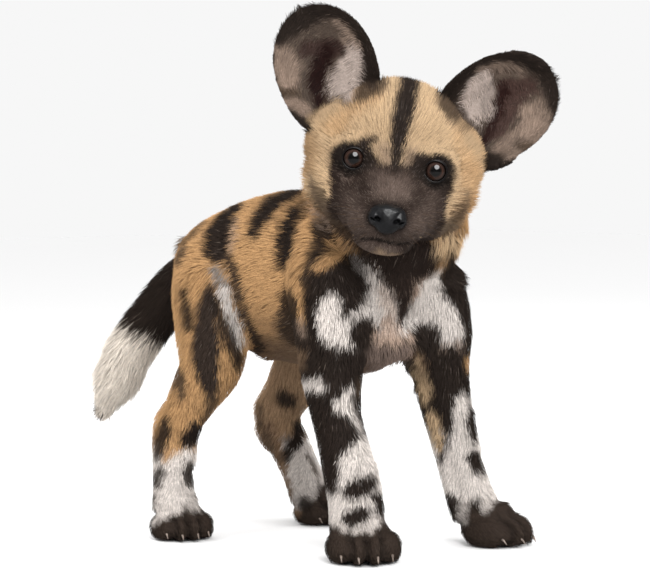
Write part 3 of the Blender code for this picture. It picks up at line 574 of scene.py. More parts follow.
# %% How a stroke is painted
grain = np.array([noise.noise(Vector(p) * 160.0) + 0.6 * noise.noise(Vector(p) * 420.0) for p in skin_points])
surface = skin_points + skin_normals * (stand * 0.85)[:, None]
surface_tree = BVHTree.FromPolygons(surface.tolist(), skin_faces.tolist())
skin_tree_under = BVHTree.FromPolygons(skin_points.tolist(), skin_faces.tolist())


def paint(spots, new, where=None, strength=1.0, soft=0.0030, ragged=0.0022, seen=True):
    """Mix a colour into every point within the radius of one of the spots, as the camera sees them."""
    if len(spots) == 0:
        return
    close = np.full(point_count, True) if where is None else where.copy()
    reach = 3 * spots[:, 3].max() + 0.012
    close &= np.all((surface > spots[:, :3].min(0) - reach) & (surface < spots[:, :3].max(0) + reach), axis=1)
    if seen:
        close &= towards < 0.3
    index = np.flatnonzero(close)
    if len(index) == 0:
        return
    gap = np.full(len(index), 1.0)
    for spot in spots:
        away = surface[index] - spot[:3]
        far = np.linalg.norm(away, axis=1)
        if seen:
            deep = np.abs(away @ unit(spot[:3] - np.array(CAMERA_AT)))
            far = np.where(deep < 3 * spot[3] + 0.006, np.sqrt(np.maximum(far**2 - deep**2, 0)), 1.0)
        gap = np.minimum(gap, far - spot[3])
    share = np.clip(0.5 - (gap + ragged * grain[index]) / (2 * soft), 0, 1)
    share = (share * share * (3 - 2 * share) * strength)[:, None]
    colour[index] = colour[index] * (1 - share) + new * share


def mirrored(spots, slide=(0.0, 0.006, -0.004)):
    """The same spots on the other flank, moved a little, and put back onto the skin."""
    out = []
    for x, y, z, r in spots:
        middle = SHIFT[0] + np.interp(y - SHIFT[1], (-0.064, 0.168), (0.010, -0.010))
        place = Vector((2 * middle - x, y + slide[1], z + slide[2]))
        out.append((*surface_tree.find_nearest(place)[0], r * 1.25))
    return np.array(out)

# %% [markdown]
# The strokes themselves, part by part, each as (x, y, radius) in pixels of the photograph. Pale and
# tan ones are painted first and the black ones over them, as the dark hair lies over the light.

# %% The strokes on the body and the neck
trunk = on("torso", "neck")
BODY_STROKES = [
    (BROWN, 0.80, [(262, 352, 6), (282, 362, 8), (305, 362, 9)]),
    (BROWN, 0.55, [(287, 326, 16), (298, 345, 14)]),
    (TAN, 0.95, [(300, 262, 8), (295, 280, 10), (294, 298, 9), (299, 318, 5), (302, 334, 3)]),
    (DARK_BROWN, 0.90, [(262, 193, 3), (276, 189, 5), (292, 187, 7), (306, 188, 7)]),
    (PINK_GREY * 1.2, 0.55, [(232, 222, 5), (229, 236, 6), (228, 250, 4)]),
    (BLACK, 1.00, [(298, 190, 6), (284, 196, 7), (271, 203, 9), (262, 213, 9), (255, 224, 8), (250, 236, 5)]),
    (BLACK, 0.70, [(302, 203, 5), (295, 210, 6)]),
    (BLACK, 1.00, [(294, 213, 7), (286, 226, 10), (284, 240, 11), (282, 254, 9), (279, 268, 5)]),
    # The next two strokes: dark hair and painted shade in the fold between the neck and the shoulder.
    (BLACK, 0.85, [(315, 205, 4), (317, 220, 5), (320, 234, 8), (322, 248, 8)]),
    (DARK_BROWN, 0.90, [(316, 256, 5), (309, 266, 4), (303, 282, 3)]),
    (BLACK, 1.00, [(238, 205, 4), (229, 211, 6), (221, 223, 9), (215, 236, 12), (213, 248, 12), (217, 259, 8)]),
    # The next two strokes: dark hair and painted shade along the top edge of the rump.
    (BLACK, 0.70, [(203, 222, 2), (196, 228, 3), (189, 236, 4), (182, 244, 5)]),
    (DARK_BROWN, 0.85, [(180, 250, 5), (176, 262, 4)]),
    (BLACK, 0.90, [(284, 299, 8), (289, 312, 13), (289, 328, 14), (296, 339, 11), (303, 347, 6)]),
    (PINK_GREY * 1.3, 0.60, [(299, 322, 3), (302, 336, 4)]),
    # Dark hair and painted shade in the fold between the neck and the shoulder, running down.
    (BLACK, 0.80, [(318, 232, 9), (315, 246, 8), (309, 260, 5), (305, 274, 4), (303, 288, 4)]),
    (PINK_GREY * 1.4, 0.45, [(309, 205, 4), (316, 216, 4), (326, 229, 4)]),
    (BLACK, 0.90, [(316, 278, 6), (311, 292, 6), (309, 312, 5), (309, 335, 6), (314, 352, 8)]),
    (TAN, 0.85, [(338, 257, 7), (326, 262, 8), (315, 270, 4)]),
    (BLACK, 1.00, [(344, 270, 9), (350, 283, 14), (346, 298, 14), (345, 311, 10)]),
    (BLACK, 1.00, [(330, 283, 11), (318, 290, 8)]),
    (WHITE * 0.78, 0.95, [(378, 300, 13), (388, 320, 16), (410, 322, 14), (432, 312, 18), (440, 330, 14)]),
    (PINK_GREY * 1.6, 0.60, [(382, 296, 6), (386, 310, 8)]),
    (BLACK, 0.95, [(325, 352, 14), (345, 362, 14)]),
    (WHITE * 0.9, 0.95, [(357, 264, 2), (365, 271, 4), (373, 280, 6), (380, 291, 8), (385, 306, 12), (376, 316, 8)]),
    (WHITE, 1.00, [(331, 306, 10), (327, 320, 12), (331, 335, 14), (342, 345, 11), (351, 350, 6)]),
    (WHITE, 0.95, [(343, 330, 8), (354, 322, 6), (366, 314, 7)]),
    (BLACK, 1.00, [(350, 286, 11), (357, 297, 10), (350, 308, 7), (346, 316, 3)]),
    (WHITE * 0.95, 0.95, [(439, 274, 4), (434, 285, 8), (429, 298, 13), (432, 312, 16), (447, 322, 14), (456, 332, 10), (450, 345, 7)]),
    (WHITE * 0.9, 0.90, [(386, 318, 10), (400, 330, 9), (412, 322, 10)]),
    (PINK_GREY * 1.8, 0.50, [(381, 292, 6), (387, 306, 8), (392, 320, 8)]),
    (PINK_GREY * 1.5, 0.55, [(388, 330, 8), (396, 344, 7)]),
    (GREY, 0.80, [(372, 358, 9), (388, 360, 10), (402, 352, 7)]),
    (MASK, 0.95, [(366, 262, 10), (384, 266, 14), (404, 268, 18), (424, 264, 14), (434, 258, 8)]),
    (MASK, 1.00, [(388, 281, 9), (402, 284, 13), (415, 281, 9)]),
    (MASK, 1.00, [(402, 296, 10), (403, 309, 7), (402, 324, 5)]),
    (BLACK, 1.00, [(364, 330, 12), (361, 341, 12)]),
    (PINK_GREY * 1.2, 0.55, [(445, 352, 7), (458, 350, 6)]),
    (PINK_GREY * 1.7, 0.60, [(396, 338, 10), (388, 326, 7)]),
    (BLACK, 1.00, [(427, 338, 13), (424, 349, 12)]),
    (PALE_TAN, 0.95, [(456, 242, 10), (448, 250, 9), (438, 252, 5)]),
    (BLACK, 1.00, [(451, 264, 8), (456, 280, 11), (462, 296, 11), (468, 316, 6), (470, 332, 5)]),
    (TAN, 0.85, [(467, 290, 3), (469, 298, 3)]),
]
THIGH_STROKES = [
    (WHITE * 0.30, 1.00, [(213, 270, 5), (218, 281, 7), (223, 292, 7)]),
    (WHITE * 0.78, 1.00, [(223, 294, 7), (227, 307, 7.5), (232, 321, 7), (237, 335, 6.5), (241, 347, 5)]),
    # Painted shadow, with some dark hair, in the fold between the thigh and the flank.
    (BLACK * 1.6, 0.95, [(225, 258, 6), (231, 270, 6), (235, 284, 5), (238, 300, 5), (243, 316, 5), (249, 332, 5), (258, 348, 5)]),
    (BLACK * 1.7, 1.00, [(209, 289, 5), (207, 304, 9), (206, 322, 12), (205, 340, 14), (205, 358, 15), (207, 374, 13), (209, 388, 10), (211, 396, 6)]),
    (BLACK, 0.95, [(214, 304, 5), (220, 321, 7), (226, 335, 8), (232, 348, 8), (238, 359, 6), (237, 369, 5)]),
    (DARK_BROWN, 0.90, [(213, 398, 5), (209, 410, 4), (205, 424, 4)]),
    (BLACK, 0.95, [(181, 292, 3), (183, 304, 5), (186, 318, 6), (187, 329, 5)]),
    (DARK_BROWN, 0.90, [(176, 372, 4), (178, 384, 7), (180, 397, 5)]),
    (TAN * 0.85, 0.85, [(225, 360, 4), (228, 372, 6), (228, 386, 7), (224, 396, 5)]),
    (BLACK, 0.95, [(165, 424, 5), (163, 434, 8), (160, 448, 7), (157, 458, 5)]),
    (BLACK, 1.00, [(197, 432, 10), (190, 440, 10), (183, 445, 7)]),
    (TAN, 0.95, [(174, 446, 6), (166, 460, 4)]),
    (WHITE, 1.00, [(188, 458, 7), (180, 470, 11), (175, 486, 14), (172, 500, 15), (160, 512, 7)]),
    (WHITE, 0.95, [(154, 510, 6), (152, 522, 4)]),
    (WHITE, 0.95, [(190, 502, 6), (198, 506, 5)]),
    (BLACK, 0.95, [(158, 474, 5), (154, 484, 6)]),
    (BLACK, 0.95, [(190, 471, 7), (191, 484, 6)]),
]
HIND_LEFT_STROKES = [
    (BROWN * 1.2, 1.00, [(268, 434, 10), (273, 452, 10), (280, 468, 9), (287, 484, 7), (292, 500, 6), (296, 512, 5)]),
    (DARK_BROWN, 0.85, [(258, 408, 3), (259, 424, 4), (266, 440, 4), (273, 456, 3), (282, 478, 3)]),
    (BLACK, 0.95, [(284, 401, 9), (289, 403, 8)]),
    (BLACK, 1.00, [(302, 430, 8), (296, 443, 9), (288, 456, 8)]),
    (WHITE * 0.85, 1.00, [(300, 458, 8), (297, 474, 11), (306, 488, 13), (300, 500, 9)]),
    (DARK_BROWN, 0.90, [(309, 456, 3), (315, 468, 3), (320, 478, 2)]),
    (BLACK, 0.95, [(305, 504, 8)]),
]
FRONT_RIGHT_STROKES = [
    (BLACK, 1.00, [(320, 362, 16), (340, 366, 17), (358, 362, 10)]),
    (BLACK, 1.00, [(316, 378, 12), (340, 382, 16), (356, 378, 8)]),
    (BLACK, 1.00, [(316, 400, 13), (322, 420, 14), (328, 440, 14), (328, 462, 11), (330, 482, 9), (331, 494, 5)]),
    (BLACK, 1.00, [(340, 432, 14), (350, 434, 11), (342, 448, 10), (357, 434, 5)]),
    (WHITE, 0.95, [(306, 387, 5), (315, 388, 6), (322, 390, 4)]),
    (WHITE, 1.00, [(351, 394, 3), (347, 402, 6), (339, 409, 6), (350, 412, 5), (356, 421, 3.5), (361, 432, 2)]),
    (BLACK, 1.00, [(340, 430, 9), (350, 434, 8)]),
    (DARK_BROWN, 1.00, [(360, 386, 3), (362, 402, 2.5), (365, 414, 2.5), (368, 428, 2.5)]),
    (WHITE, 1.00, [(365, 442, 5), (363, 453, 10), (352, 464, 12), (366, 468, 12), (370, 482, 8), (374, 494, 6)]),
    (WHITE, 1.00, [(336, 506, 8), (350, 504, 6), (366, 508, 9), (376, 520, 7), (332, 520, 7), (344, 528, 4), (370, 528, 4)]),
    (BLACK, 1.00, [(370, 485, 9), (359, 490, 11), (348, 495, 9)]),
    (BLACK, 1.00, [(362, 516, 9), (350, 520, 9)]),
    (BLACK, 1.00, [(378, 500, 7), (383, 510, 8)]),
]
FRONT_LEFT_STROKES = [
    (BLACK, 0.95, [(424, 350, 9), (428, 362, 8)]),
    (BROWN * 1.1, 0.85, [(417, 358, 6), (420, 370, 6)]),
    (PALE_TAN * 0.80, 0.95, [(416, 364, 4), (417, 376, 5), (421, 386, 7), (425, 396, 7), (427, 405, 5)]),
    (BLACK, 1.00, [(450, 362, 13), (456, 376, 14), (452, 392, 12), (444, 405, 10), (435, 408, 9), (449, 420, 7)]),
    (PALE_TAN * 0.85, 1.00, [(430, 418, 4), (433, 427, 7), (437, 438, 7), (439, 450, 5)]),
    (TAN, 0.90, [(469, 364, 3), (471, 380, 3)]),
    (BLACK, 1.00, [(452, 426, 7), (450, 438, 5), (447, 450, 5), (443, 461, 6)]),
    (WHITE, 1.00, [(463, 405, 8), (463, 420, 9), (464, 436, 11), (459, 452, 12), (458, 468, 15), (465, 484, 15), (478, 494, 11), (486, 502, 6)]),
    (BLACK, 1.00, [(472, 416, 4), (473, 428, 7), (476, 441, 5)]),
    (BLACK, 1.00, [(475, 460, 8), (480, 470, 8)]),
    (BLACK, 0.95, [(450, 500, 6), (454, 512, 7)]),
    (BLACK, 0.90, [(478, 506, 7), (486, 509, 5)]),
    (WHITE * 0.7, 0.85, [(464, 508, 4), (462, 520, 5)]),
    (WHITE, 0.80, [(486, 508, 5)]),
]
TAIL_STROKES = [
    (BLACK, 0.95, [(150, 330, 8), (158, 338, 7), (164, 345, 5)]),
]
GROUPS = [(BODY_STROKES, trunk | on("leg_front_right", "leg_front_left") | is_tail, True),
          (THIGH_STROKES, on("leg_hind_right", "torso", "paw_hind_right"), False),
          (HIND_LEFT_STROKES, on("leg_hind_left", "paw_hind_left"), False),
          (FRONT_RIGHT_STROKES, on("leg_front_right", "torso", "paw_front_right"), False),
          (FRONT_LEFT_STROKES, on("leg_front_left", "torso", "paw_front_left"), False),
          (TAIL_STROKES, is_tail, False)]
for strokes, where, both in GROUPS:
    for new, strength, points in strokes:
        spots = on_skin(points)
        paint(spots, new, where, strength)
        flank = both and np.mean([p[0] for p in points]) < 325
        if flank:
            paint(mirrored(spots), new, trunk, strength, seen=False)
for strokes, leg, slide in ((THIGH_STROKES, "leg_hind_left", -0.012), (FRONT_RIGHT_STROKES, "leg_front_left", -0.007)):
    for new, strength, points in strokes:
        paint(mirrored(on_skin(points), (0.0, slide, 0.0)), new, on(leg) & (towards > 0.05), strength, seen=False)
print("painted", sum(len(strokes) for strokes, _, _ in GROUPS), "strokes on the body")

# %% The strokes on the head and in the ears
head_skin = on("head", "nose", "neck")
HEAD_STROKES = [
    (TAN, 0.55, 0.0060, [(330, 120, 12), (350, 100, 12), (372, 92, 10)]),
    (TAN, 0.60, 0.0060, [(466, 130, 10), (476, 150, 10), (476, 176, 9), (472, 196, 8)]),
    (TAN * 0.50, 0.75, 0.0060, [(308, 134, 7), (307, 150, 8), (309, 168, 7)]),
    (TAN * 0.75, 0.85, 0.0050, [(468, 205, 7), (464, 220, 7), (460, 232, 6)]),
    (GREY * 1.3, 0.55, 0.0045, [(384, 148, 8), (388, 160, 8)]),
    (GREY * 1.3, 0.60, 0.0045, [(412, 152, 6), (408, 162, 6)]),
    (MASK, 1.00, 0.0030, [(343, 158, 16), (340, 178, 14), (338, 196, 16), (344, 212, 21), (354, 228, 20), (370, 240, 15)]),
    (MASK, 1.00, 0.0030, [(361, 158, 14), (365, 178, 17), (370, 200, 22), (385, 225, 25), (392, 240, 15)]),
    (MASK, 1.00, 0.0030, [(438, 170, 17), (441, 186, 15), (436, 205, 15), (432, 220, 18), (424, 232, 17), (404, 244, 13)]),
    (MASK, 1.00, 0.0030, [(423, 165, 13), (418, 182, 16), (412, 200, 20), (402, 222, 22)]),
    (MASK, 1.00, 0.0030, [(384, 174, 13), (397, 176, 14), (392, 200, 22)]),
    (MASK, 1.00, 0.0030, [(364, 142, 6), (372, 137, 4), (374, 134, 2)]),
    (GREY, 0.45, 0.0080, [(374, 172, 5), (384, 176, 8), (394, 180, 8), (408, 178, 6)]),
    (GREY * 0.9, 0.70, 0.0080, [(380, 190, 7), (392, 191, 8), (404, 192, 7)]),
    (GREY, 0.26, 0.0090, [(350, 198, 9), (356, 216, 10), (370, 230, 8)]),
    (GREY, 0.26, 0.0090, [(434, 200, 9), (426, 216, 10), (414, 230, 8)]),
    (GREY * 1.2, 0.45, 0.0016, [(335, 171, 1.2), (344, 178, 1.5), (356, 178, 1.2)]),
    (GREY * 1.2, 0.45, 0.0016, [(424, 186, 1.2), (435, 190, 1.5), (446, 185, 1.2)]),
    (BLACK, 1.00, 0.0028, [(410, 79, 10), (408, 92, 11), (405, 106, 11.5), (402, 120, 11), (399, 134, 9.5), (398, 147, 8), (397, 158, 6), (396, 170, 4)]),
    (DARK_BROWN, 0.90, 0.0022, [(310, 172, 2), (311, 184, 4), (315, 198, 6), (322, 213, 7), (332, 228, 8), (344, 240, 8)]),
    (PALE_TAN * 1.15, 1.00, 0.0020, [(320, 160, 3), (319, 170, 4), (321, 183, 4), (325, 194, 3)]),

    (DARK_BROWN, 0.85, 0.0022, [(469, 188, 1.5), (468, 200, 3), (463, 214, 4), (455, 226, 6), (444, 236, 8)]),
    (PALE_TAN * 1.0, 0.95, 0.0020, [(461, 182, 3), (461, 192, 4), (457, 204, 5), (450, 213, 3)]),

    (GREY, 0.28, 0.0080, [(350, 222, 9), (362, 234, 8), (384, 238, 5), (404, 236, 8), (420, 222, 10), (428, 234, 7)]),
    (GREY, 0.72, 0.0060, [(364, 248, 3), (378, 252, 5), (394, 253, 4)]),
    (DARK_BROWN, 0.95, 0.0030, [(382, 81, 6), (374, 86, 8), (365, 91, 8), (357, 97, 5)]),
    (PALE_TAN * 0.75, 0.55, 0.0040, [(348, 103, 4), (336, 108, 5), (324, 116, 5)]),
    (DARK_BROWN, 0.95, 0.0030, [(440, 92, 5), (446, 100, 8), (453, 110, 8), (458, 120, 4)]),
    (PALE_TAN * 0.80, 0.70, 0.0040, [(464, 126, 6), (472, 138, 6), (478, 150, 5), (482, 160, 4)]),
    (BLACK, 0.90, 0.0040, [(362, 146, 5), (368, 154, 6), (370, 164, 5)]),
    (BLACK, 0.90, 0.0040, [(420, 158, 5), (417, 167, 6), (418, 176, 5)]),
]
for new, strength, soft, points in HEAD_STROKES:
    paint(on_skin(points), new, head_skin, strength, soft=soft, ragged=0.0016)
for name, place in EYES.items():
    near = np.linalg.norm(skin_points - eye_centres[name], axis=1)
    share = np.clip((0.0155 - near) / 0.0030, 0, 1)[:, None]
    colour[:] = colour * (1 - share) + BLACK * 0.55 * share
EAR_STROKES = {
    "ear_right": [
        (PINK_GREY * 0.30, 0.95, [(318, 30, 12), (334, 34, 10)]),
        (PINK_GREY * 0.85, 0.95, [(278, 50, 6), (286, 56, 11), (288, 72, 13), (290, 84, 10), (300, 66, 8)]),
        (PINK_GREY * 1.15, 0.75, [(279, 62, 4), (282, 76, 5), (286, 84, 6), (292, 76, 6)]),
        (DARK_BROWN, 0.90, [(280, 92, 5), (290, 93, 5), (298, 92, 4)]),
        (PINK_GREY * 1.05, 0.90, [(286, 102, 5), (296, 104, 7), (306, 110, 7)]),
        (BLACK, 1.00, [(290, 117, 4), (300, 122, 5), (308, 128, 4)]),
        (PINK_GREY * 0.28, 0.85, [(308, 50, 9), (306, 66, 7), (306, 82, 7), (308, 96, 6)]),
        (EAR_BROWN, 0.95, [(307, 48, 7), (320, 48, 9), (334, 50, 8)]),
        (EAR_RED * 1.3, 1.00, [(326, 54, 9), (321, 62, 9), (318, 76, 8), (318, 92, 8), (320, 106, 6)]),
        (LINING, 1.00, [(353, 44, 5), (353, 58, 9), (348, 72, 13), (343, 86, 12), (346, 96, 7)]),
        (LINING * 0.85, 0.90, [(334, 74, 5), (332, 86, 6), (338, 94, 6)]),
        (PINK_GREY * 0.95, 0.90, [(336, 24, 4), (346, 34, 6), (354, 46, 5)]),
        (BLACK, 1.00, [(350, 16, 7), (360, 30, 8), (368, 46, 9), (371, 62, 9), (370, 78, 9)]),
        (BLACK, 0.95, [(300, 22, 9), (288, 30, 8), (279, 40, 5), (316, 14, 8)]),
        (PALE_TAN * 0.75, 0.85, [(314, 118, 6), (326, 110, 6), (336, 104, 5)]),
        (BLACK, 0.90, [(342, 101, 2.5), (349, 103, 2.5)]),
    ],
    "ear_left": [
        (PINK_GREY * 0.72, 0.95, [(484, 72, 6), (500, 69, 7), (514, 69, 6), (522, 74, 4)]),
        (PINK_GREY * 0.75, 0.95, [(538, 104, 6), (544, 118, 8), (540, 130, 9), (528, 140, 8)]),
        (PINK_GREY * 1.05, 0.80, [(528, 110, 8), (534, 122, 8), (522, 132, 7)]),
        (EAR_BROWN * 1.5, 0.95, [(506, 90, 10), (518, 91, 11), (530, 87, 8)]),
        (BLACK, 1.00, [(464, 70, 3), (476, 61, 4), (490, 56, 5), (506, 54, 7), (522, 56, 8), (536, 62, 8), (546, 74, 8), (552, 90, 7), (555, 106, 5)]),
        (DARK_BROWN, 0.85, [(530, 146, 4), (520, 144, 4)]),
        (PINK_GREY * 0.80, 0.90, [(512, 138, 7), (502, 146, 8), (516, 154, 6), (508, 158, 5)]),
        (BLACK, 1.00, [(488, 160, 5), (500, 164, 5), (512, 163, 3)]),
        (EAR_BROWN * 1.5, 0.90, [(507, 102, 9), (510, 112, 8), (500, 126, 8), (492, 134, 7)]),
        (EAR_RED * 1.8, 0.95, [(504, 94, 7), (500, 104, 6), (497, 115, 5), (489, 130, 5), (484, 141, 4)]),
        (LINING * 1.15, 1.00, [(486, 78, 6), (476, 88, 9), (474, 102, 11), (476, 116, 9)]),
        (LINING * 0.85, 0.90, [(488, 90, 7), (487, 104, 8), (488, 114, 6)]),
        (DARK_BROWN, 0.80, [(464, 126, 3), (472, 128, 3)]),
        (PALE_TAN * 0.75, 0.85, [(470, 138, 6), (478, 148, 5)]),
    ],
}
for ear, strokes in EAR_STROKES.items():
    for new, strength, points in strokes:
        paint(on_skin(points), new, on(ear) | on("head"), strength, soft=0.0026, ragged=0.0022)
print("painted", len(HEAD_STROKES), "strokes on the head and", sum(map(len, EAR_STROKES.values())), "in the ears")

# %% [markdown]
# Each coat piece's colours can be baked through its own UV map, OFBake. All pieces share one unwrap of
# the skin's shape: a plain copy of the skin with few faces is unwrapped, and every point looks up
# the nearest place on it.

# %% One unwrap for the skin and the coat
proxy = bpy.data.objects.new("unwrap", skin.data.copy())
bpy.context.scene.collection.objects.link(proxy)
apply_modifier(proxy, "DECIMATE", ratio=7000 / triangle_count(proxy))
apply_modifier(proxy, "TRIANGULATE")
only(proxy)
bpy.ops.object.mode_set(mode="EDIT")
bpy.ops.mesh.select_all(action="SELECT")
bpy.ops.uv.smart_project(angle_limit=math.radians(60), island_margin=0.004)
bpy.ops.object.mode_set(mode="OBJECT")
proxy_points = read(proxy.data.vertices, "co", 3)
proxy_faces = read(proxy.data.loops, "vertex_index", 1, np.int32).reshape(-1, 3)
proxy_uv = read(proxy.data.uv_layers.active.data, "uv", 2).reshape(-1, 3, 2)
proxy_tree = BVHTree.FromPolygons([Vector(p) for p in proxy_points], [tuple(f) for f in proxy_faces])
bpy.data.objects.remove(proxy, do_unlink=True)


def unwrapped(points, face):
    """The place on the unwrap of each point, as seen from the given face of the plain copy."""
    a, b, c = (proxy_points[proxy_faces[face, k]] for k in range(3))
    ab, ac, ap = b - a, c - a, points - a
    d00, d01, d11 = (ab * ab).sum(1), (ab * ac).sum(1), (ac * ac).sum(1)
    d20, d21 = (ap * ab).sum(1), (ap * ac).sum(1)
    scale = np.maximum(d00 * d11 - d01 * d01, 1e-18)
    v = np.clip((d11 * d20 - d01 * d21) / scale, -0.3, 1.3)
    w = np.clip((d00 * d21 - d01 * d20) / scale, -0.3, 1.3)
    uv = proxy_uv[face]
    return uv[:, 0] * (1 - v - w)[:, None] + uv[:, 1] * v[:, None] + uv[:, 2] * w[:, None]


skin_spots = KDTree(point_count)
for k, p in enumerate(surface):
    skin_spots.insert(p, k)
skin_spots.balance()


def nearest_points(points):
    return np.array([skin_spots.find(p)[1] for p in points])


def nearest_faces(points):
    return np.array([proxy_tree.find_nearest(Vector(p))[2] for p in points])


centres = skin_points[skin_faces].mean(1)
skin_uv_face = nearest_faces(centres)
skin_uv = unwrapped(skin_points[skin_faces].reshape(-1, 3), np.repeat(skin_uv_face, 3))
skin.data.uv_layers.new(name="OFBake").data.foreach_set("uv", skin_uv.astype(np.float32).ravel())
print("unwrap:", len(proxy_faces), "faces")

# %% [markdown]
# Real hair is far too fine to model one by one, so a tuft stands for a few dozen hairs that lie
# together: a closed sliver of six triangles with a root under the skin, a flat waist and a fine tip.
# Particle hair would be quicker, but it isn't mesh. Tips that stand near each other lean together
# into small locks, which gives the coat its soft, slightly rough look.

# %% Growing a coat
face_area = 0.5 * np.linalg.norm(np.cross(skin_points[skin_faces[:, 1]] - skin_points[skin_faces[:, 0]],
                                          skin_points[skin_faces[:, 2]] - skin_points[skin_faces[:, 0]]), axis=1)
nose_tree, _ = tree_of([frame["nodes"]["nose"]])
bare = np.zeros(point_count, bool)
for name, place in EYES.items():
    flat = np.hypot((head_points[:, 0] - place[0]) / OPENING_WIDTH, (head_points[:, 1] - place[1]) / OPENING_HEIGHT)
    bare |= (flat < 1.04) & (head_points[:, 2] > place[2])
for k in np.flatnonzero(from_nose < 0.03):
    from_leather = nose_tree.find_nearest(Vector(skin_points[k]))[3]
    bare[k] |= from_leather < 0.0022
    # Near the leather the skin is darkened: black skin round the nose and painted shade inside the nostrils.
    colour[k] *= np.clip(0.35 + from_leather / 0.006, 0, 1)
mouth_line = on_skin([(349, 238, 0.3), (362, 240, 0.5), (374, 239, 0.6), (384, 242, 0.7), (395, 245, 0.6), (408, 244, 0.3)])
in_mouth = closeness(mouth_line, 0.0014)
# The mouth line is darkened: dark lip skin and painted shade in the crease of the mouth.
colour *= 1 - 0.85 * in_mouth[:, None]
bare |= height < 0.0015
thickness = np.where(bare, 0.0, 1.0 - np.clip(in_mouth * 2, 0, 1))
grizzle = np.where(face, np.interp(from_nose, (0.02, 0.05, 0.09), (0.12, 0.09, 0.03)), 0.02) * (height > 0.05)
sway = smoothed(np.array([noise.noise(Vector(p) * 45.0) for p in skin_points]), 1)


def mesh_of(name, points, faces, uv, shade):
    mesh = bpy.data.meshes.new(name)
    mesh.vertices.add(len(points))
    mesh.vertices.foreach_set("co", points.astype(np.float32).ravel())
    mesh.loops.add(faces.size)
    mesh.loops.foreach_set("vertex_index", faces.astype(np.int32).ravel())
    mesh.polygons.add(len(faces))
    mesh.polygons.foreach_set("loop_start", np.arange(0, faces.size, 3, dtype=np.int32))
    mesh.update(calc_edges=True)
    mesh.polygons.foreach_set("use_smooth", np.ones(len(faces), bool))
    mesh.uv_layers.new(name="OFBake").data.foreach_set("uv", uv[faces.ravel()].astype(np.float32).ravel())
    colours = mesh.color_attributes.new("coat_colour", "FLOAT_COLOR", "POINT")
    colours.data.foreach_set("color", np.hstack([shade, np.ones((len(points), 1))]).astype(np.float32).ravel())
    obj = bpy.data.objects.new(name, mesh)
    bpy.context.scene.collection.objects.link(obj)
    return obj


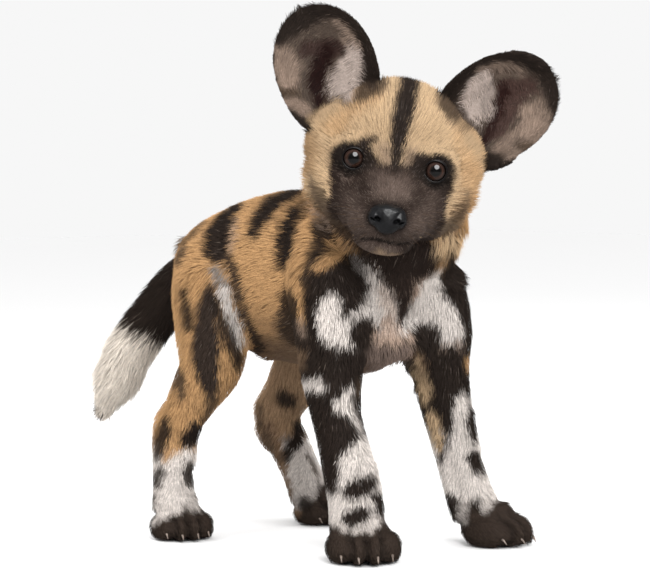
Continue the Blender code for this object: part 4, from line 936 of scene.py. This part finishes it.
def grow(name, where, count, seed, waists=(0.42,), lean=0.25, lock=0.0040, blend=0.0014, vary=0.085):
    """A coat piece on the faces whose points all pass `where`."""
    draw = np.random.default_rng(seed)
    chosen = np.flatnonzero(where[skin_faces].all(1))
    finer = (0.00075 * 0.0085 / (width * length)) ** 0.45
    weight = face_area[chosen] * (thickness * finer)[skin_faces[chosen]].mean(1)
    running = np.cumsum(weight)
    pick = chosen[np.searchsorted(running, (np.arange(count) + draw.random(count)) / count * running[-1] * 0.999999)]
    a, b = draw.random(count), draw.random(count)
    a, b = np.where(a + b > 1, 1 - a, a), np.where(a + b > 1, 1 - b, b)
    share = np.stack([1 - a - b, a, b], axis=1)[:, :, None]
    corners = skin_faces[pick]

    def at(values):
        values = values if values.ndim == 2 else values[:, None]
        return (values[corners] * share).sum(1)

    root, normal, way = at(skin_points), unit(at(skin_normals)), at(lie)
    way = unit(way - normal * (way * normal).sum(1, keepdims=True))
    side = np.cross(way, normal)
    turn = (at(sway)[:, 0] * 0.30 + draw.normal(0, 0.13, count))[:, None]
    way = way * np.cos(turn) + side * np.sin(turn)
    side = np.cross(way, normal)
    long = at(length)[:, 0] * draw.uniform(0.72, 1.22, count)
    wide = at(width)[:, 0] * draw.uniform(0.75, 1.25, count)
    rise = np.arcsin(np.clip(at(stand)[:, 0] / long, 0.05, 0.62)) * draw.uniform(0.75, 1.15, count)
    stops = [*waists, 1.0]
    places, before = [], root
    for k, stop in enumerate(stops):
        span = (stop - (stops[k - 1] if k else 0.0)) * long
        angle = rise * (1.35 if k == 0 else 0.72)
        before = before + (way * np.cos(angle)[:, None] + normal * np.sin(angle)[:, None]) * span[:, None]
        places.append(before)
    cell = np.floor(root / lock).astype(int)
    _, key = np.unique(cell @ np.array((1, 4096, 4096 * 4096)), return_inverse=True)
    key = key.ravel()
    members = np.bincount(key).astype(float)
    middle = np.stack([np.bincount(key, places[-1][:, c]) / members for c in range(3)], axis=1)[key]
    pull = (lean * draw.uniform(0.3, 1.0, count))[:, None]
    places[-1] = places[-1] + (middle - places[-1]) * pull
    rows = [root - normal * 0.0004]
    for k, place in enumerate(places[:-1]):
        half = (wide * (0.5 if k == 0 else 0.42))[:, None]
        rows += [place + side * half - normal * half * 0.15, place + normal * half * 0.40,
                 place - side * half - normal * half * 0.15]
    rows.append(places[-1])
    points = np.stack(rows, axis=1)
    points[:, :, 2] = np.maximum(points[:, :, 2], 0.0002)
    turns = [normal] + [unit(normal + side * turn) for _ in places[:-1] for turn in (0.55, 0.0, -0.55)] + [normal]
    shading = np.stack(turns, axis=1).reshape(-1, 3)
    rings = len(places) - 1
    last = 3 * rings + 1
    faces = [(0, 1 + i, 1 + (i + 1) % 3) for i in range(3)]
    for k in range(rings - 1):
        low, high = 1 + 3 * k, 4 + 3 * k
        for i in range(3):
            j = (i + 1) % 3
            faces += [(low + i, high + i, high + j), (low + i, high + j, low + j)]
    faces += [(last, last - 3 + (i + 1) % 3, last - 3 + i) for i in range(3)]
    faces = (np.array(faces)[None] + (np.arange(count) * (last + 1))[:, None, None]).reshape(-1, 3)
    flat = points.reshape(-1, 3)
    volume = (flat[faces[:, 0]] * np.cross(flat[faces[:, 1]], flat[faces[:, 2]])).sum()
    if volume < 0:
        faces = faces[:, ::-1]
    uv_root = unwrapped(root, nearest_faces(root))
    spread = np.zeros((last + 1, 2))
    spread[0], spread[-1] = (-0.0015, 0), (0.0015, 0)
    for i in range(1, last):
        spread[i] = (-0.0004 + 0.0008 * (i - 1) // 3 / max(rings, 1), 0.0012 * ((i - 1) % 3 - 1))
    uv = (uv_root[:, None, :] + spread[None]).reshape(-1, 2)
    over = (root + way * (long * draw.uniform(0.50, 1.0, count))[:, None] + normal * at(stand) * 0.85
            + side * draw.normal(0, blend, count)[:, None])
    tone = colour[nearest_points(over)] * draw.normal(1.0, vary, count).clip(0.5, 1.5)[:, None]
    tone[draw.random(count) < 0.09] *= 0.62
    dark = tone.mean(1) < 0.08
    tone[dark & (draw.random(count) < at(grizzle)[:, 0])] += (0.060, 0.048, 0.040)
    # Each tuft is darker at the root, partly the hair's own darker base, partly painted shade where the roots lie
    # hidden, and lighter at the tip.
    root_shade_tip_tint = np.concatenate([[0.80], np.repeat(np.linspace(0.97, 1.03, rings), 3), [1.12]])
    shade = (tone[:, None, :] * root_shade_tip_tint[None, :, None]).reshape(-1, 3)
    made = mesh_of(name, flat, faces, uv.clip(0.0, 1.0), shade.clip(0, 1))
    made.data.normals_split_custom_set_from_vertices(shading.tolist())
    print(name, count, "tufts", len(faces), "triangles,", round(float(running[-1]) * 1e6), "mm2 weighted")
    return made


mid_x = SHIFT[0] + np.interp(skin_points[:, 1] - SHIFT[1], (-0.064, 0.168), (0.010, -0.010))
on_right, on_left = skin_points[:, 0] <= mid_x, skin_points[:, 0] > mid_x
share_of = 1.0


def grown_shares():
    """Each coat piece with the skin it grows on and its number of tufts."""
    face_here = on("head", "nose")
    edge = smoothed(on_right.astype(float), 1) > 0.0
    edge_left = smoothed(on_left.astype(float), 1) > 0.0
    return {
        "coat_head_right": (face_here & (head_points[:, 0] <= 0.0015), 33000, {}),
        "coat_head_left": (face_here & (head_points[:, 0] >= -0.0015), 33000, {}),
        "coat_ear_right": (on("ear_right"), 14000, {"lock": 0.003, "vary": 0.20}),
        "coat_ear_left": (on("ear_left"), 14000, {"lock": 0.003, "vary": 0.20}),
        "coat_neck": (smoothed(on("neck").astype(float), 2) > 0.0, 17000, {}),
        "coat_torso_right": (on("torso") & edge, 27000, {}),
        "coat_torso_left": (on("torso") & edge_left, 18000, {}),
        "coat_leg_front_right": (smoothed(on("leg_front_right").astype(float), 2) > 0.0, 15000, {}),
        "coat_leg_front_left": (smoothed(on("leg_front_left").astype(float), 2) > 0.0, 15000, {}),
        "coat_leg_hind_right": (smoothed(on("leg_hind_right").astype(float), 2) > 0.0, 15000, {}),
        "coat_leg_hind_left": (smoothed(on("leg_hind_left").astype(float), 2) > 0.0, 12000, {}),
        "coat_paws": (on("paw"), 12500, {"lean": 0.2, "lock": 0.003}),
        "coat_tail": (smoothed(on("tail").astype(float), 2) > 0.0, 12000, {"waists": (0.30, 0.66), "lean": 0.5, "lock": 0.007}),
    }


coats = [grow(name, where, int(count * share_of), 40 + k, **more)
         for k, (name, (where, count, more)) in enumerate(grown_shares().items())]
print("coat:", sum(triangle_count(c) for c in coats), "triangles")

# %% [markdown]
# Whiskers are single stiff hairs, thicker than the coat and tapered, rooted in rows on the muzzle,
# with a few above each eye and on the chin. Curves with a bevel would do, but then they'd need
# converting; here each is a three-sided closed spindle like the tufts, longer and gently drooping.

# %% The whiskers
WHISKERS = [(352, 208, 17), (351, 216, 20), (354, 223, 21), (358, 229, 18), (360, 212, 14), (362, 219, 16), (365, 226, 15),
            (368, 233, 12), (428, 212, 17), (430, 219, 20), (427, 226, 21), (423, 232, 18), (420, 214, 14), (417, 222, 16),
            (413, 229, 15), (408, 235, 12), (349, 138, 11), (353, 136, 12), (357, 136, 10), (433, 149, 11), (438, 149, 12),
            (443, 151, 10), (374, 251, 8), (384, 252, 8), (396, 251, 8)]
across_head, up_head, out_head = (np.array(axis) for axis in HEAD_AXES)
spindles, spindle_faces, spindle_uv = [], [], []
for number, (x, y, long) in enumerate(WHISKERS):
    root, normal, _, _ = skin_tree_under.ray_cast(CAMERA_AT, pixel_ray(x, y))
    root, normal, long = np.array(root), np.array(normal), long * 0.001
    outward = np.sign(head_points[nearest_points([root])[0], 0])
    way = unit(normal * 0.55 + across_head * outward * 0.75 - out_head * 0.25 + up_head * 0.12 * math.sin(number * 2.4))
    side = unit(np.cross(way, up_head))
    over = np.cross(side, way)
    first = len(spindles) * 1
    spindles.append(root - normal * 0.0008)
    for share, half in ((0.05, 0.00013), (0.30, 0.00012), (0.55, 0.00009), (0.80, 0.00005)):
        middle = root + way * long * share - up_head * long * 0.22 * share**2
        spindles += [middle + (side * math.cos(a) + over * math.sin(a)) * half for a in (0.0, 2.094, 4.189)]
    spindles.append(root + way * long - up_head * long * 0.22)
    last = first + 13
    spindle_faces += [(first, first + 1 + (i + 1) % 3, first + 1 + i) for i in range(3)]
    for ring in range(3):
        for i in range(3):
            a, b = first + 1 + 3 * ring + i, first + 1 + 3 * ring + (i + 1) % 3
            spindle_faces += [(a, b, b + 3), (a, b + 3, a + 3)]
    spindle_faces += [(last, last - 3 + i, last - 3 + (i + 1) % 3) for i in range(3)]
    place = unwrapped(root[None], nearest_faces([root]))[0]
    spindle_uv += [place + (0.0004 * k, 0.0006 * (k % 3)) for k in range(-6, 8)]
spindles, spindle_faces = np.array(spindles), np.array(spindle_faces)
if (spindles[spindle_faces[:, 0]] * np.cross(spindles[spindle_faces[:, 1]], spindles[spindle_faces[:, 2]])).sum() < 0:
    spindle_faces = spindle_faces[:, ::-1]
whiskers = mesh_of("whiskers", spindles, spindle_faces, np.array(spindle_uv).clip(0, 1),
                   np.tile(BROWN * 0.6, (len(spindles), 1)))
coats.append(whiskers)
print("whiskers:", len(WHISKERS))

# %% [markdown]
# Skin and coat share one colour, kept on their points; under the coat the skin is painted darker, as shade
# under the hair. The hair itself is a matt fibre with a faint sheen; the skin below it gets a fine bump,
# so that it reads as short hair where it shows through.

# %% Materials of the coat and the skin
def node_material(name, roughness, colour_value=(0.5, 0.5, 0.5)):
    made = bpy.data.materials.new(name)
    made.use_nodes = True
    tree = made.node_tree
    shader = tree.nodes["Principled BSDF"]
    shader.inputs["Base Color"].default_value = (*colour_value, 1.0)
    shader.inputs["Roughness"].default_value = roughness
    return made, tree, shader


def group_of(name, inputs, outputs):
    """An empty shader node group with these named sockets, with its own input and output nodes."""
    made = bpy.data.node_groups.new(name, "ShaderNodeTree")
    for way, sockets in (("INPUT", inputs), ("OUTPUT", outputs)):
        for label, kind in sockets:
            made.interface.new_socket(name=label, in_out=way, socket_type="NodeSocket" + kind)
    return made, made.nodes.new("NodeGroupInput"), made.nodes.new("NodeGroupOutput")


def noise_in(tree, scale_output, detail, roughness):
    place = tree.nodes.new("ShaderNodeTexCoord")
    texture = tree.nodes.new("ShaderNodeTexNoise")
    texture.inputs["Detail"].default_value = detail
    texture.inputs["Roughness"].default_value = roughness
    tree.links.new(place.outputs["Object"], texture.inputs["Vector"])
    tree.links.new(scale_output, texture.inputs["Scale"])
    return texture.outputs["Fac"]


mottling, entry, leave = group_of("Mottling", [("Scale", "Float"), ("Dark", "Color"), ("Pale", "Color")],
                                  [("Colour", "Color"), ("Mask", "Float")])
blotches = noise_in(mottling, entry.outputs["Scale"], 3.0, 0.55)
spread = mottling.nodes.new("ShaderNodeMapRange")
spread.inputs["From Min"].default_value, spread.inputs["From Max"].default_value = 0.32, 0.70
mottling.links.new(blotches, spread.inputs["Value"])
blend = mottling.nodes.new("ShaderNodeMix")
blend.data_type = "RGBA"
mottling.links.new(spread.outputs["Result"], blend.inputs["Factor"])
mottling.links.new(entry.outputs["Dark"], blend.inputs["A"])
mottling.links.new(entry.outputs["Pale"], blend.inputs["B"])
mottling.links.new(blend.outputs["Result"], leave.inputs["Colour"])
mottling.links.new(spread.outputs["Result"], leave.inputs["Mask"])

roughened, entry, leave = group_of("Fine bumps", [("Scale", "Float"), ("Strength", "Float"), ("Distance", "Float")],
                                   [("Normal", "Vector")])
lumps = roughened.nodes.new("ShaderNodeBump")
roughened.links.new(noise_in(roughened, entry.outputs["Scale"], 4.0, 0.65), lumps.inputs["Height"])
for label in ("Strength", "Distance"):
    roughened.links.new(entry.outputs[label], lumps.inputs[label])
roughened.links.new(lumps.outputs["Normal"], leave.inputs["Normal"])


def effect(tree, group, output, **values):
    """Place a shared effect in a material with this material's own values."""
    placed = tree.nodes.new("ShaderNodeGroup")
    placed.node_tree = group
    for label, value in values.items():
        placed.inputs[label].default_value = (*value, 1.0) if isinstance(value, tuple) else value
    return placed.outputs[output]


def mottled(tree, scale, dark, pale):
    return effect(tree, mottling, "Colour", Scale=scale, Dark=dark, Pale=pale)


def bumpy(tree, shader, scale, strength, distance):
    tree.links.new(effect(tree, roughened, "Normal", Scale=scale, Strength=strength, Distance=distance),
                   shader.inputs["Normal"])


def ramp(tree, source, stops):
    made = tree.nodes.new("ShaderNodeValToRGB")
    while len(made.color_ramp.elements) < len(stops):
        made.color_ramp.elements.new(0.5)
    for element, (position, value) in zip(made.color_ramp.elements, stops):
        element.position = position
        element.color = (*value, 1.0) if len(value) == 3 else value
    tree.links.new(source, made.inputs["Fac"])
    return made.outputs["Color"]


def mixed_colour(tree, mode, amount, first, second):
    made = tree.nodes.new("ShaderNodeMix")
    made.data_type, made.blend_type = "RGBA", mode
    made.inputs["Factor"].default_value = amount
    for socket, value in ((made.inputs["A"], first), (made.inputs["B"], second)):
        if hasattr(value, "is_output"):
            tree.links.new(value, socket)
        else:
            socket.default_value = value
    return made.outputs["Result"]


def coat_material(name, roughness, fine, strength):
    made, tree, shader = node_material(name, roughness)
    kept = tree.nodes.new("ShaderNodeAttribute")
    kept.attribute_name = "coat_colour"
    streaks = mottled(tree, fine, (0.78, 0.78, 0.78), (1.12, 1.12, 1.12))
    tree.links.new(mixed_colour(tree, "MULTIPLY", 1.0, kept.outputs["Color"], streaks), shader.inputs["Base Color"])
    shader.inputs["Specular IOR Level"].default_value = 0.14
    if strength:
        bumpy(tree, shader, fine * 1.6, strength, 0.0006)
    return made


hair_finish = coat_material("coat_hair", 0.72, 900.0, 0.0)
skin_finish = coat_material("skin_under_coat", 0.85, 700.0, 0.6)
skin_shade = skin.data.color_attributes.new("coat_colour", "FLOAT_COLOR", "POINT")
# Painted shade: where the coat covers it, the skin takes the coat's colour 20% darker; bare skin keeps it.
skin_tone = colour * np.where(bare[:, None], 1.0, 0.80)
skin_shade.data.foreach_set("color", np.hstack([skin_tone, np.ones((point_count, 1))]).astype(np.float32).ravel())
skin.data.materials.clear()
skin.data.materials.append(skin_finish)
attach(skin, "root")
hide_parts(*FLESH[:-1], "tail")
for piece in coats:
    piece.data.materials.append(hair_finish)
    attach(piece, "root")
print("finishes:", hair_finish.name, skin_finish.name)

# %% [markdown]
# The eyeballs are nearly all iris, dark brown, with a wide black pupil. Each is a sphere turned so
# that its pole looks out of the face, and every point keeps its angle from that pole, which places
# the pupil, the iris and its dark rim. A picture would do the same but isn't wanted here. The wet
# rim of the lids is a ring drawn out to a corner on the side of the nose.

# %% The eyes
def on_face(obj, centre):
    """Stand a piece made at the origin, facing +Z, on the face at this centre."""
    turn = Matrix(HEAD_AXES).transposed().to_4x4()
    obj.data.transform(Matrix.Translation(Vector(centre)) @ turn)
    obj.data.update()


PUPIL, IRIS = 22.0, 47.0
eye_finish, tree, shader = node_material("eye_wet", 0.06)
angle = tree.nodes.new("ShaderNodeAttribute")
angle.attribute_name = "from_pole"
iris = ramp(tree, angle.outputs["Fac"], [
    (0.0, (0.0015, 0.0012, 0.0012)), (PUPIL / 90 - 0.012, (0.0015, 0.0012, 0.0012)),
    (PUPIL / 90 + 0.015, (0.012, 0.007, 0.005)), (0.36, (0.034, 0.016, 0.011)),
    (IRIS / 90 - 0.09, (0.020, 0.010, 0.007)), (IRIS / 90 + 0.01, (0.002, 0.0015, 0.0015)),
    (0.75, (0.006, 0.005, 0.004))])
flecks = mottled(tree, 1500.0, (0.6, 0.6, 0.6), (1.25, 1.25, 1.25))
tree.links.new(mixed_colour(tree, "MULTIPLY", 0.8, iris, flecks), shader.inputs["Base Color"])
shader.inputs["Specular IOR Level"].default_value = 0.0
shader.inputs["Coat Weight"].default_value = 1.0
shader.inputs["Coat Roughness"].default_value = 0.02
shader.inputs["Coat IOR"].default_value = 1.55

lid_finish, tree, shader = node_material("lid_rim", 0.30)
tree.links.new(mottled(tree, 500.0, (0.004, 0.003, 0.003), (0.009, 0.0065, 0.006)), shader.inputs["Base Color"])
shader.inputs["Specular IOR Level"].default_value = 0.30
shader.inputs["Coat Weight"].default_value = 0.20
shader.inputs["Coat Roughness"].default_value = 0.12
bumpy(tree, shader, 1400.0, 0.4, 0.0003)

for name, place in EYES.items():
    ball = sphere(name + "_ball", (0, 0, 0), EYE_RADIUS, 72, 54)
    rows = read(ball.data.vertices, "co", 3)
    away = np.degrees(np.arctan2(np.hypot(rows[:, 0], rows[:, 1]), rows[:, 2]))
    cornea = 0.00045 * np.clip(1 - away / 38.0, 0, 1) ** 0.7
    shaped = rows * (1 + cornea / EYE_RADIUS)[:, None]
    shaped[:, 2] = np.where(shaped[:, 2] > 0, shaped[:, 2] * 0.78, shaped[:, 2]) + 0.0021
    write_points(ball.data, shaped)
    kept = ball.data.attributes.new("from_pole", "FLOAT", "POINT")
    kept.data.foreach_set("value", (away / 90.0).astype(np.float32))
    on_face(ball, eye_centres[name])
    only(ball)
    bpy.ops.object.shade_smooth()
    ball.data.materials.append(eye_finish)
    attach(ball, "root")
    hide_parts(name)

    bpy.ops.object.select_all(action="DESELECT")
    bpy.ops.mesh.primitive_torus_add(major_segments=72, minor_segments=14, major_radius=0.0092, minor_radius=0.0014)
    rim = bpy.context.object
    rim.name = rim.data.name = name.replace("eye", "lid_rim")
    rows = read(rim.data.vertices, "co", 3)
    inward = -np.sign(place[0])
    corner = np.clip(rows[:, 0] * inward / 0.0092, 0, 1) ** 6
    rows[:, 0] += inward * 0.0016 * corner
    rows[:, 1] = rows[:, 1] * np.where(rows[:, 1] > 0, 0.94, 0.98) - 0.0012 * corner
    far = np.hypot(rows[:, 0], rows[:, 1])
    rows[:, 2] += np.sqrt(np.clip(0.01030**2 - far**2, 0.0035**2, None)) + 0.0008
    write_points(rim.data, rows)
    on_face(rim, eye_centres[name])
    only(rim)
    bpy.ops.object.shade_smooth()
    rim.data.materials.append(lid_finish)
    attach(rim, "root")
print("eyes at", {name: [round(float(v), 4) for v in place] for name, place in eye_centres.items()})

# %% [markdown]
# The nose is bare leather: black, damp and covered with fine bumps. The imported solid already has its
# outline and nostrils, so a copy of it is remeshed finely and given the bumps as real shape.

# %% The nose
nose = copy_of("nose")
nose.name = nose.data.name = "nose_leather"
apply_modifier(nose, "REMESH", mode="VOXEL", voxel_size=0.00042)
apply_modifier(nose, "SMOOTH", factor=0.5, iterations=14)
rows, normals = read(nose.data.vertices, "co", 3), read(nose.data.vertices, "normal", 3)
pebbles = np.array([noise.noise(Vector(p) * 1500.0) for p in rows])
write_points(nose.data, rows + normals * (pebbles * 0.00006)[:, None])
only(nose)
bpy.ops.object.shade_smooth()
nose_finish, tree, shader = node_material("nose_leather", 0.34)
place = tree.nodes.new("ShaderNodeTexCoord")
cells = tree.nodes.new("ShaderNodeTexVoronoi")
cells.inputs["Scale"].default_value = 1500.0
tree.links.new(place.outputs["Object"], cells.inputs["Vector"])
tree.links.new(mottled(tree, 180.0, (0.004, 0.004, 0.0045), (0.009, 0.009, 0.010)), shader.inputs["Base Color"])
pebbled = tree.nodes.new("ShaderNodeBump")
pebbled.inputs["Strength"].default_value, pebbled.inputs["Distance"].default_value = 0.35, 0.0003
tree.links.new(cells.outputs["Distance"], pebbled.inputs["Height"])
tree.links.new(pebbled.outputs["Normal"], shader.inputs["Normal"])
shader.inputs["Specular IOR Level"].default_value = 0.28
shader.inputs["Coat Weight"].default_value = 0.22
shader.inputs["Coat Roughness"].default_value = 0.10
nose.data.materials.append(nose_finish)
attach(nose, "root")
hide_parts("nose")
print("nose:", triangle_count(nose), "triangles")

# %% [markdown]
# The imported claws have the right shape and stay; each gets a mottled horn finish.

# %% The claws
horn_finish, tree, shader = node_material("claw_horn", 0.38)
tree.links.new(mottled(tree, 260.0, (0.10, 0.075, 0.060), (0.30, 0.24, 0.20)), shader.inputs["Base Color"])
bumpy(tree, shader, 1200.0, 0.3, 0.0002)
shader.inputs["Coat Weight"].default_value = 0.3
claws = [node for node in frame["nodes"] if node.startswith("claw")]
for node in claws:
    claw = frame["nodes"][node]
    for slot in claw.material_slots:
        slot.material = horn_finish
    only(claw)
    bpy.ops.object.shade_smooth_by_angle(angle=math.radians(40))
print("claws:", len(claws))

# %% [markdown]
# Plain pale floor, a bright even surround and one large soft light up in front, as in a product
# photograph. It stands above the camera, so each eye shows one highlight just over its centre.

# %% The studio
bpy.ops.object.select_all(action="DESELECT")
bpy.ops.mesh.primitive_plane_add(size=1.0)
floor = bpy.context.object
floor.name = "floor"
floor.data.transform(Matrix.Scale(12.0, 4))
floor_finish, tree, shader = node_material("floor_paper", 0.9)
path = tree.nodes.new("ShaderNodeLightPath")
seen = mixed_colour(tree, "MIX", 1.0, (0.62, 0.62, 0.62, 1.0), (0.90, 0.90, 0.90, 1.0))
tree.links.new(path.outputs["Is Camera Ray"], seen.node.inputs["Factor"])
mirrored_floor = mixed_colour(tree, "MIX", 1.0, seen, (0.16, 0.16, 0.16, 1.0))
tree.links.new(path.outputs["Is Glossy Ray"], mirrored_floor.node.inputs["Factor"])
tree.links.new(mirrored_floor, shader.inputs["Base Color"])
floor.data.materials.append(floor_finish)
world = bpy.data.worlds.new("studio")
world.use_nodes = True
sky = world.node_tree
seen_by_camera = sky.nodes.new("ShaderNodeLightPath")
direction = sky.nodes.new("ShaderNodeTexCoord")
parts = sky.nodes.new("ShaderNodeSeparateXYZ")
sky.links.new(direction.outputs["Generated"], parts.inputs["Vector"])
surround = ramp(sky, parts.outputs["Z"], [(0.0, (0.50, 0.50, 0.50)), (0.15, (0.55, 0.55, 0.55)), (0.9, (1.35, 1.35, 1.35))])
plain = mixed_colour(sky, "MIX", 1.0, surround, (0.93, 0.93, 0.93, 1.0))
sky.links.new(seen_by_camera.outputs["Is Camera Ray"], plain.node.inputs["Factor"])
sky.links.new(plain, sky.nodes["Background"].inputs["Color"])
dimmer = sky.nodes.new("ShaderNodeMath")
dimmer.operation = "MULTIPLY_ADD"
dimmer.inputs[1].default_value, dimmer.inputs[2].default_value = -0.80, 1.0
sky.links.new(seen_by_camera.outputs["Is Glossy Ray"], dimmer.inputs[0])
sky.links.new(dimmer.outputs["Value"], sky.nodes["Background"].inputs["Strength"])
bpy.context.scene.world = world
bpy.context.scene.view_settings.view_transform = "Standard"


def soft_light(name, place, aim, size, power):
    lamp = bpy.data.lights.new(name, "AREA")
    lamp.shape, lamp.size, lamp.energy = "DISK", size, power
    obj = bpy.data.objects.new(name, lamp)
    bpy.context.scene.collection.objects.link(obj)
    obj.location = place
    obj.rotation_euler = (Vector(aim) - Vector(place)).to_track_quat("-Z", "Y").to_euler()
    obj.visible_glossy = name == "key"


middle = Vector((0.0, 0.0, 0.2))
soft_light("key", Vector((-0.86, -1.75, 1.48)), middle, 1.45, 44.0)
soft_light("fill", Vector((1.2, -1.1, 0.9)), middle, 1.2, 15.0)
soft_light("side", Vector((-1.9, 0.6, 1.1)), middle, 1.2, 22.0)
soft_light("rim", Vector((0.2, 1.7, 1.3)), middle, 1.2, 14.0)
print("lights set")
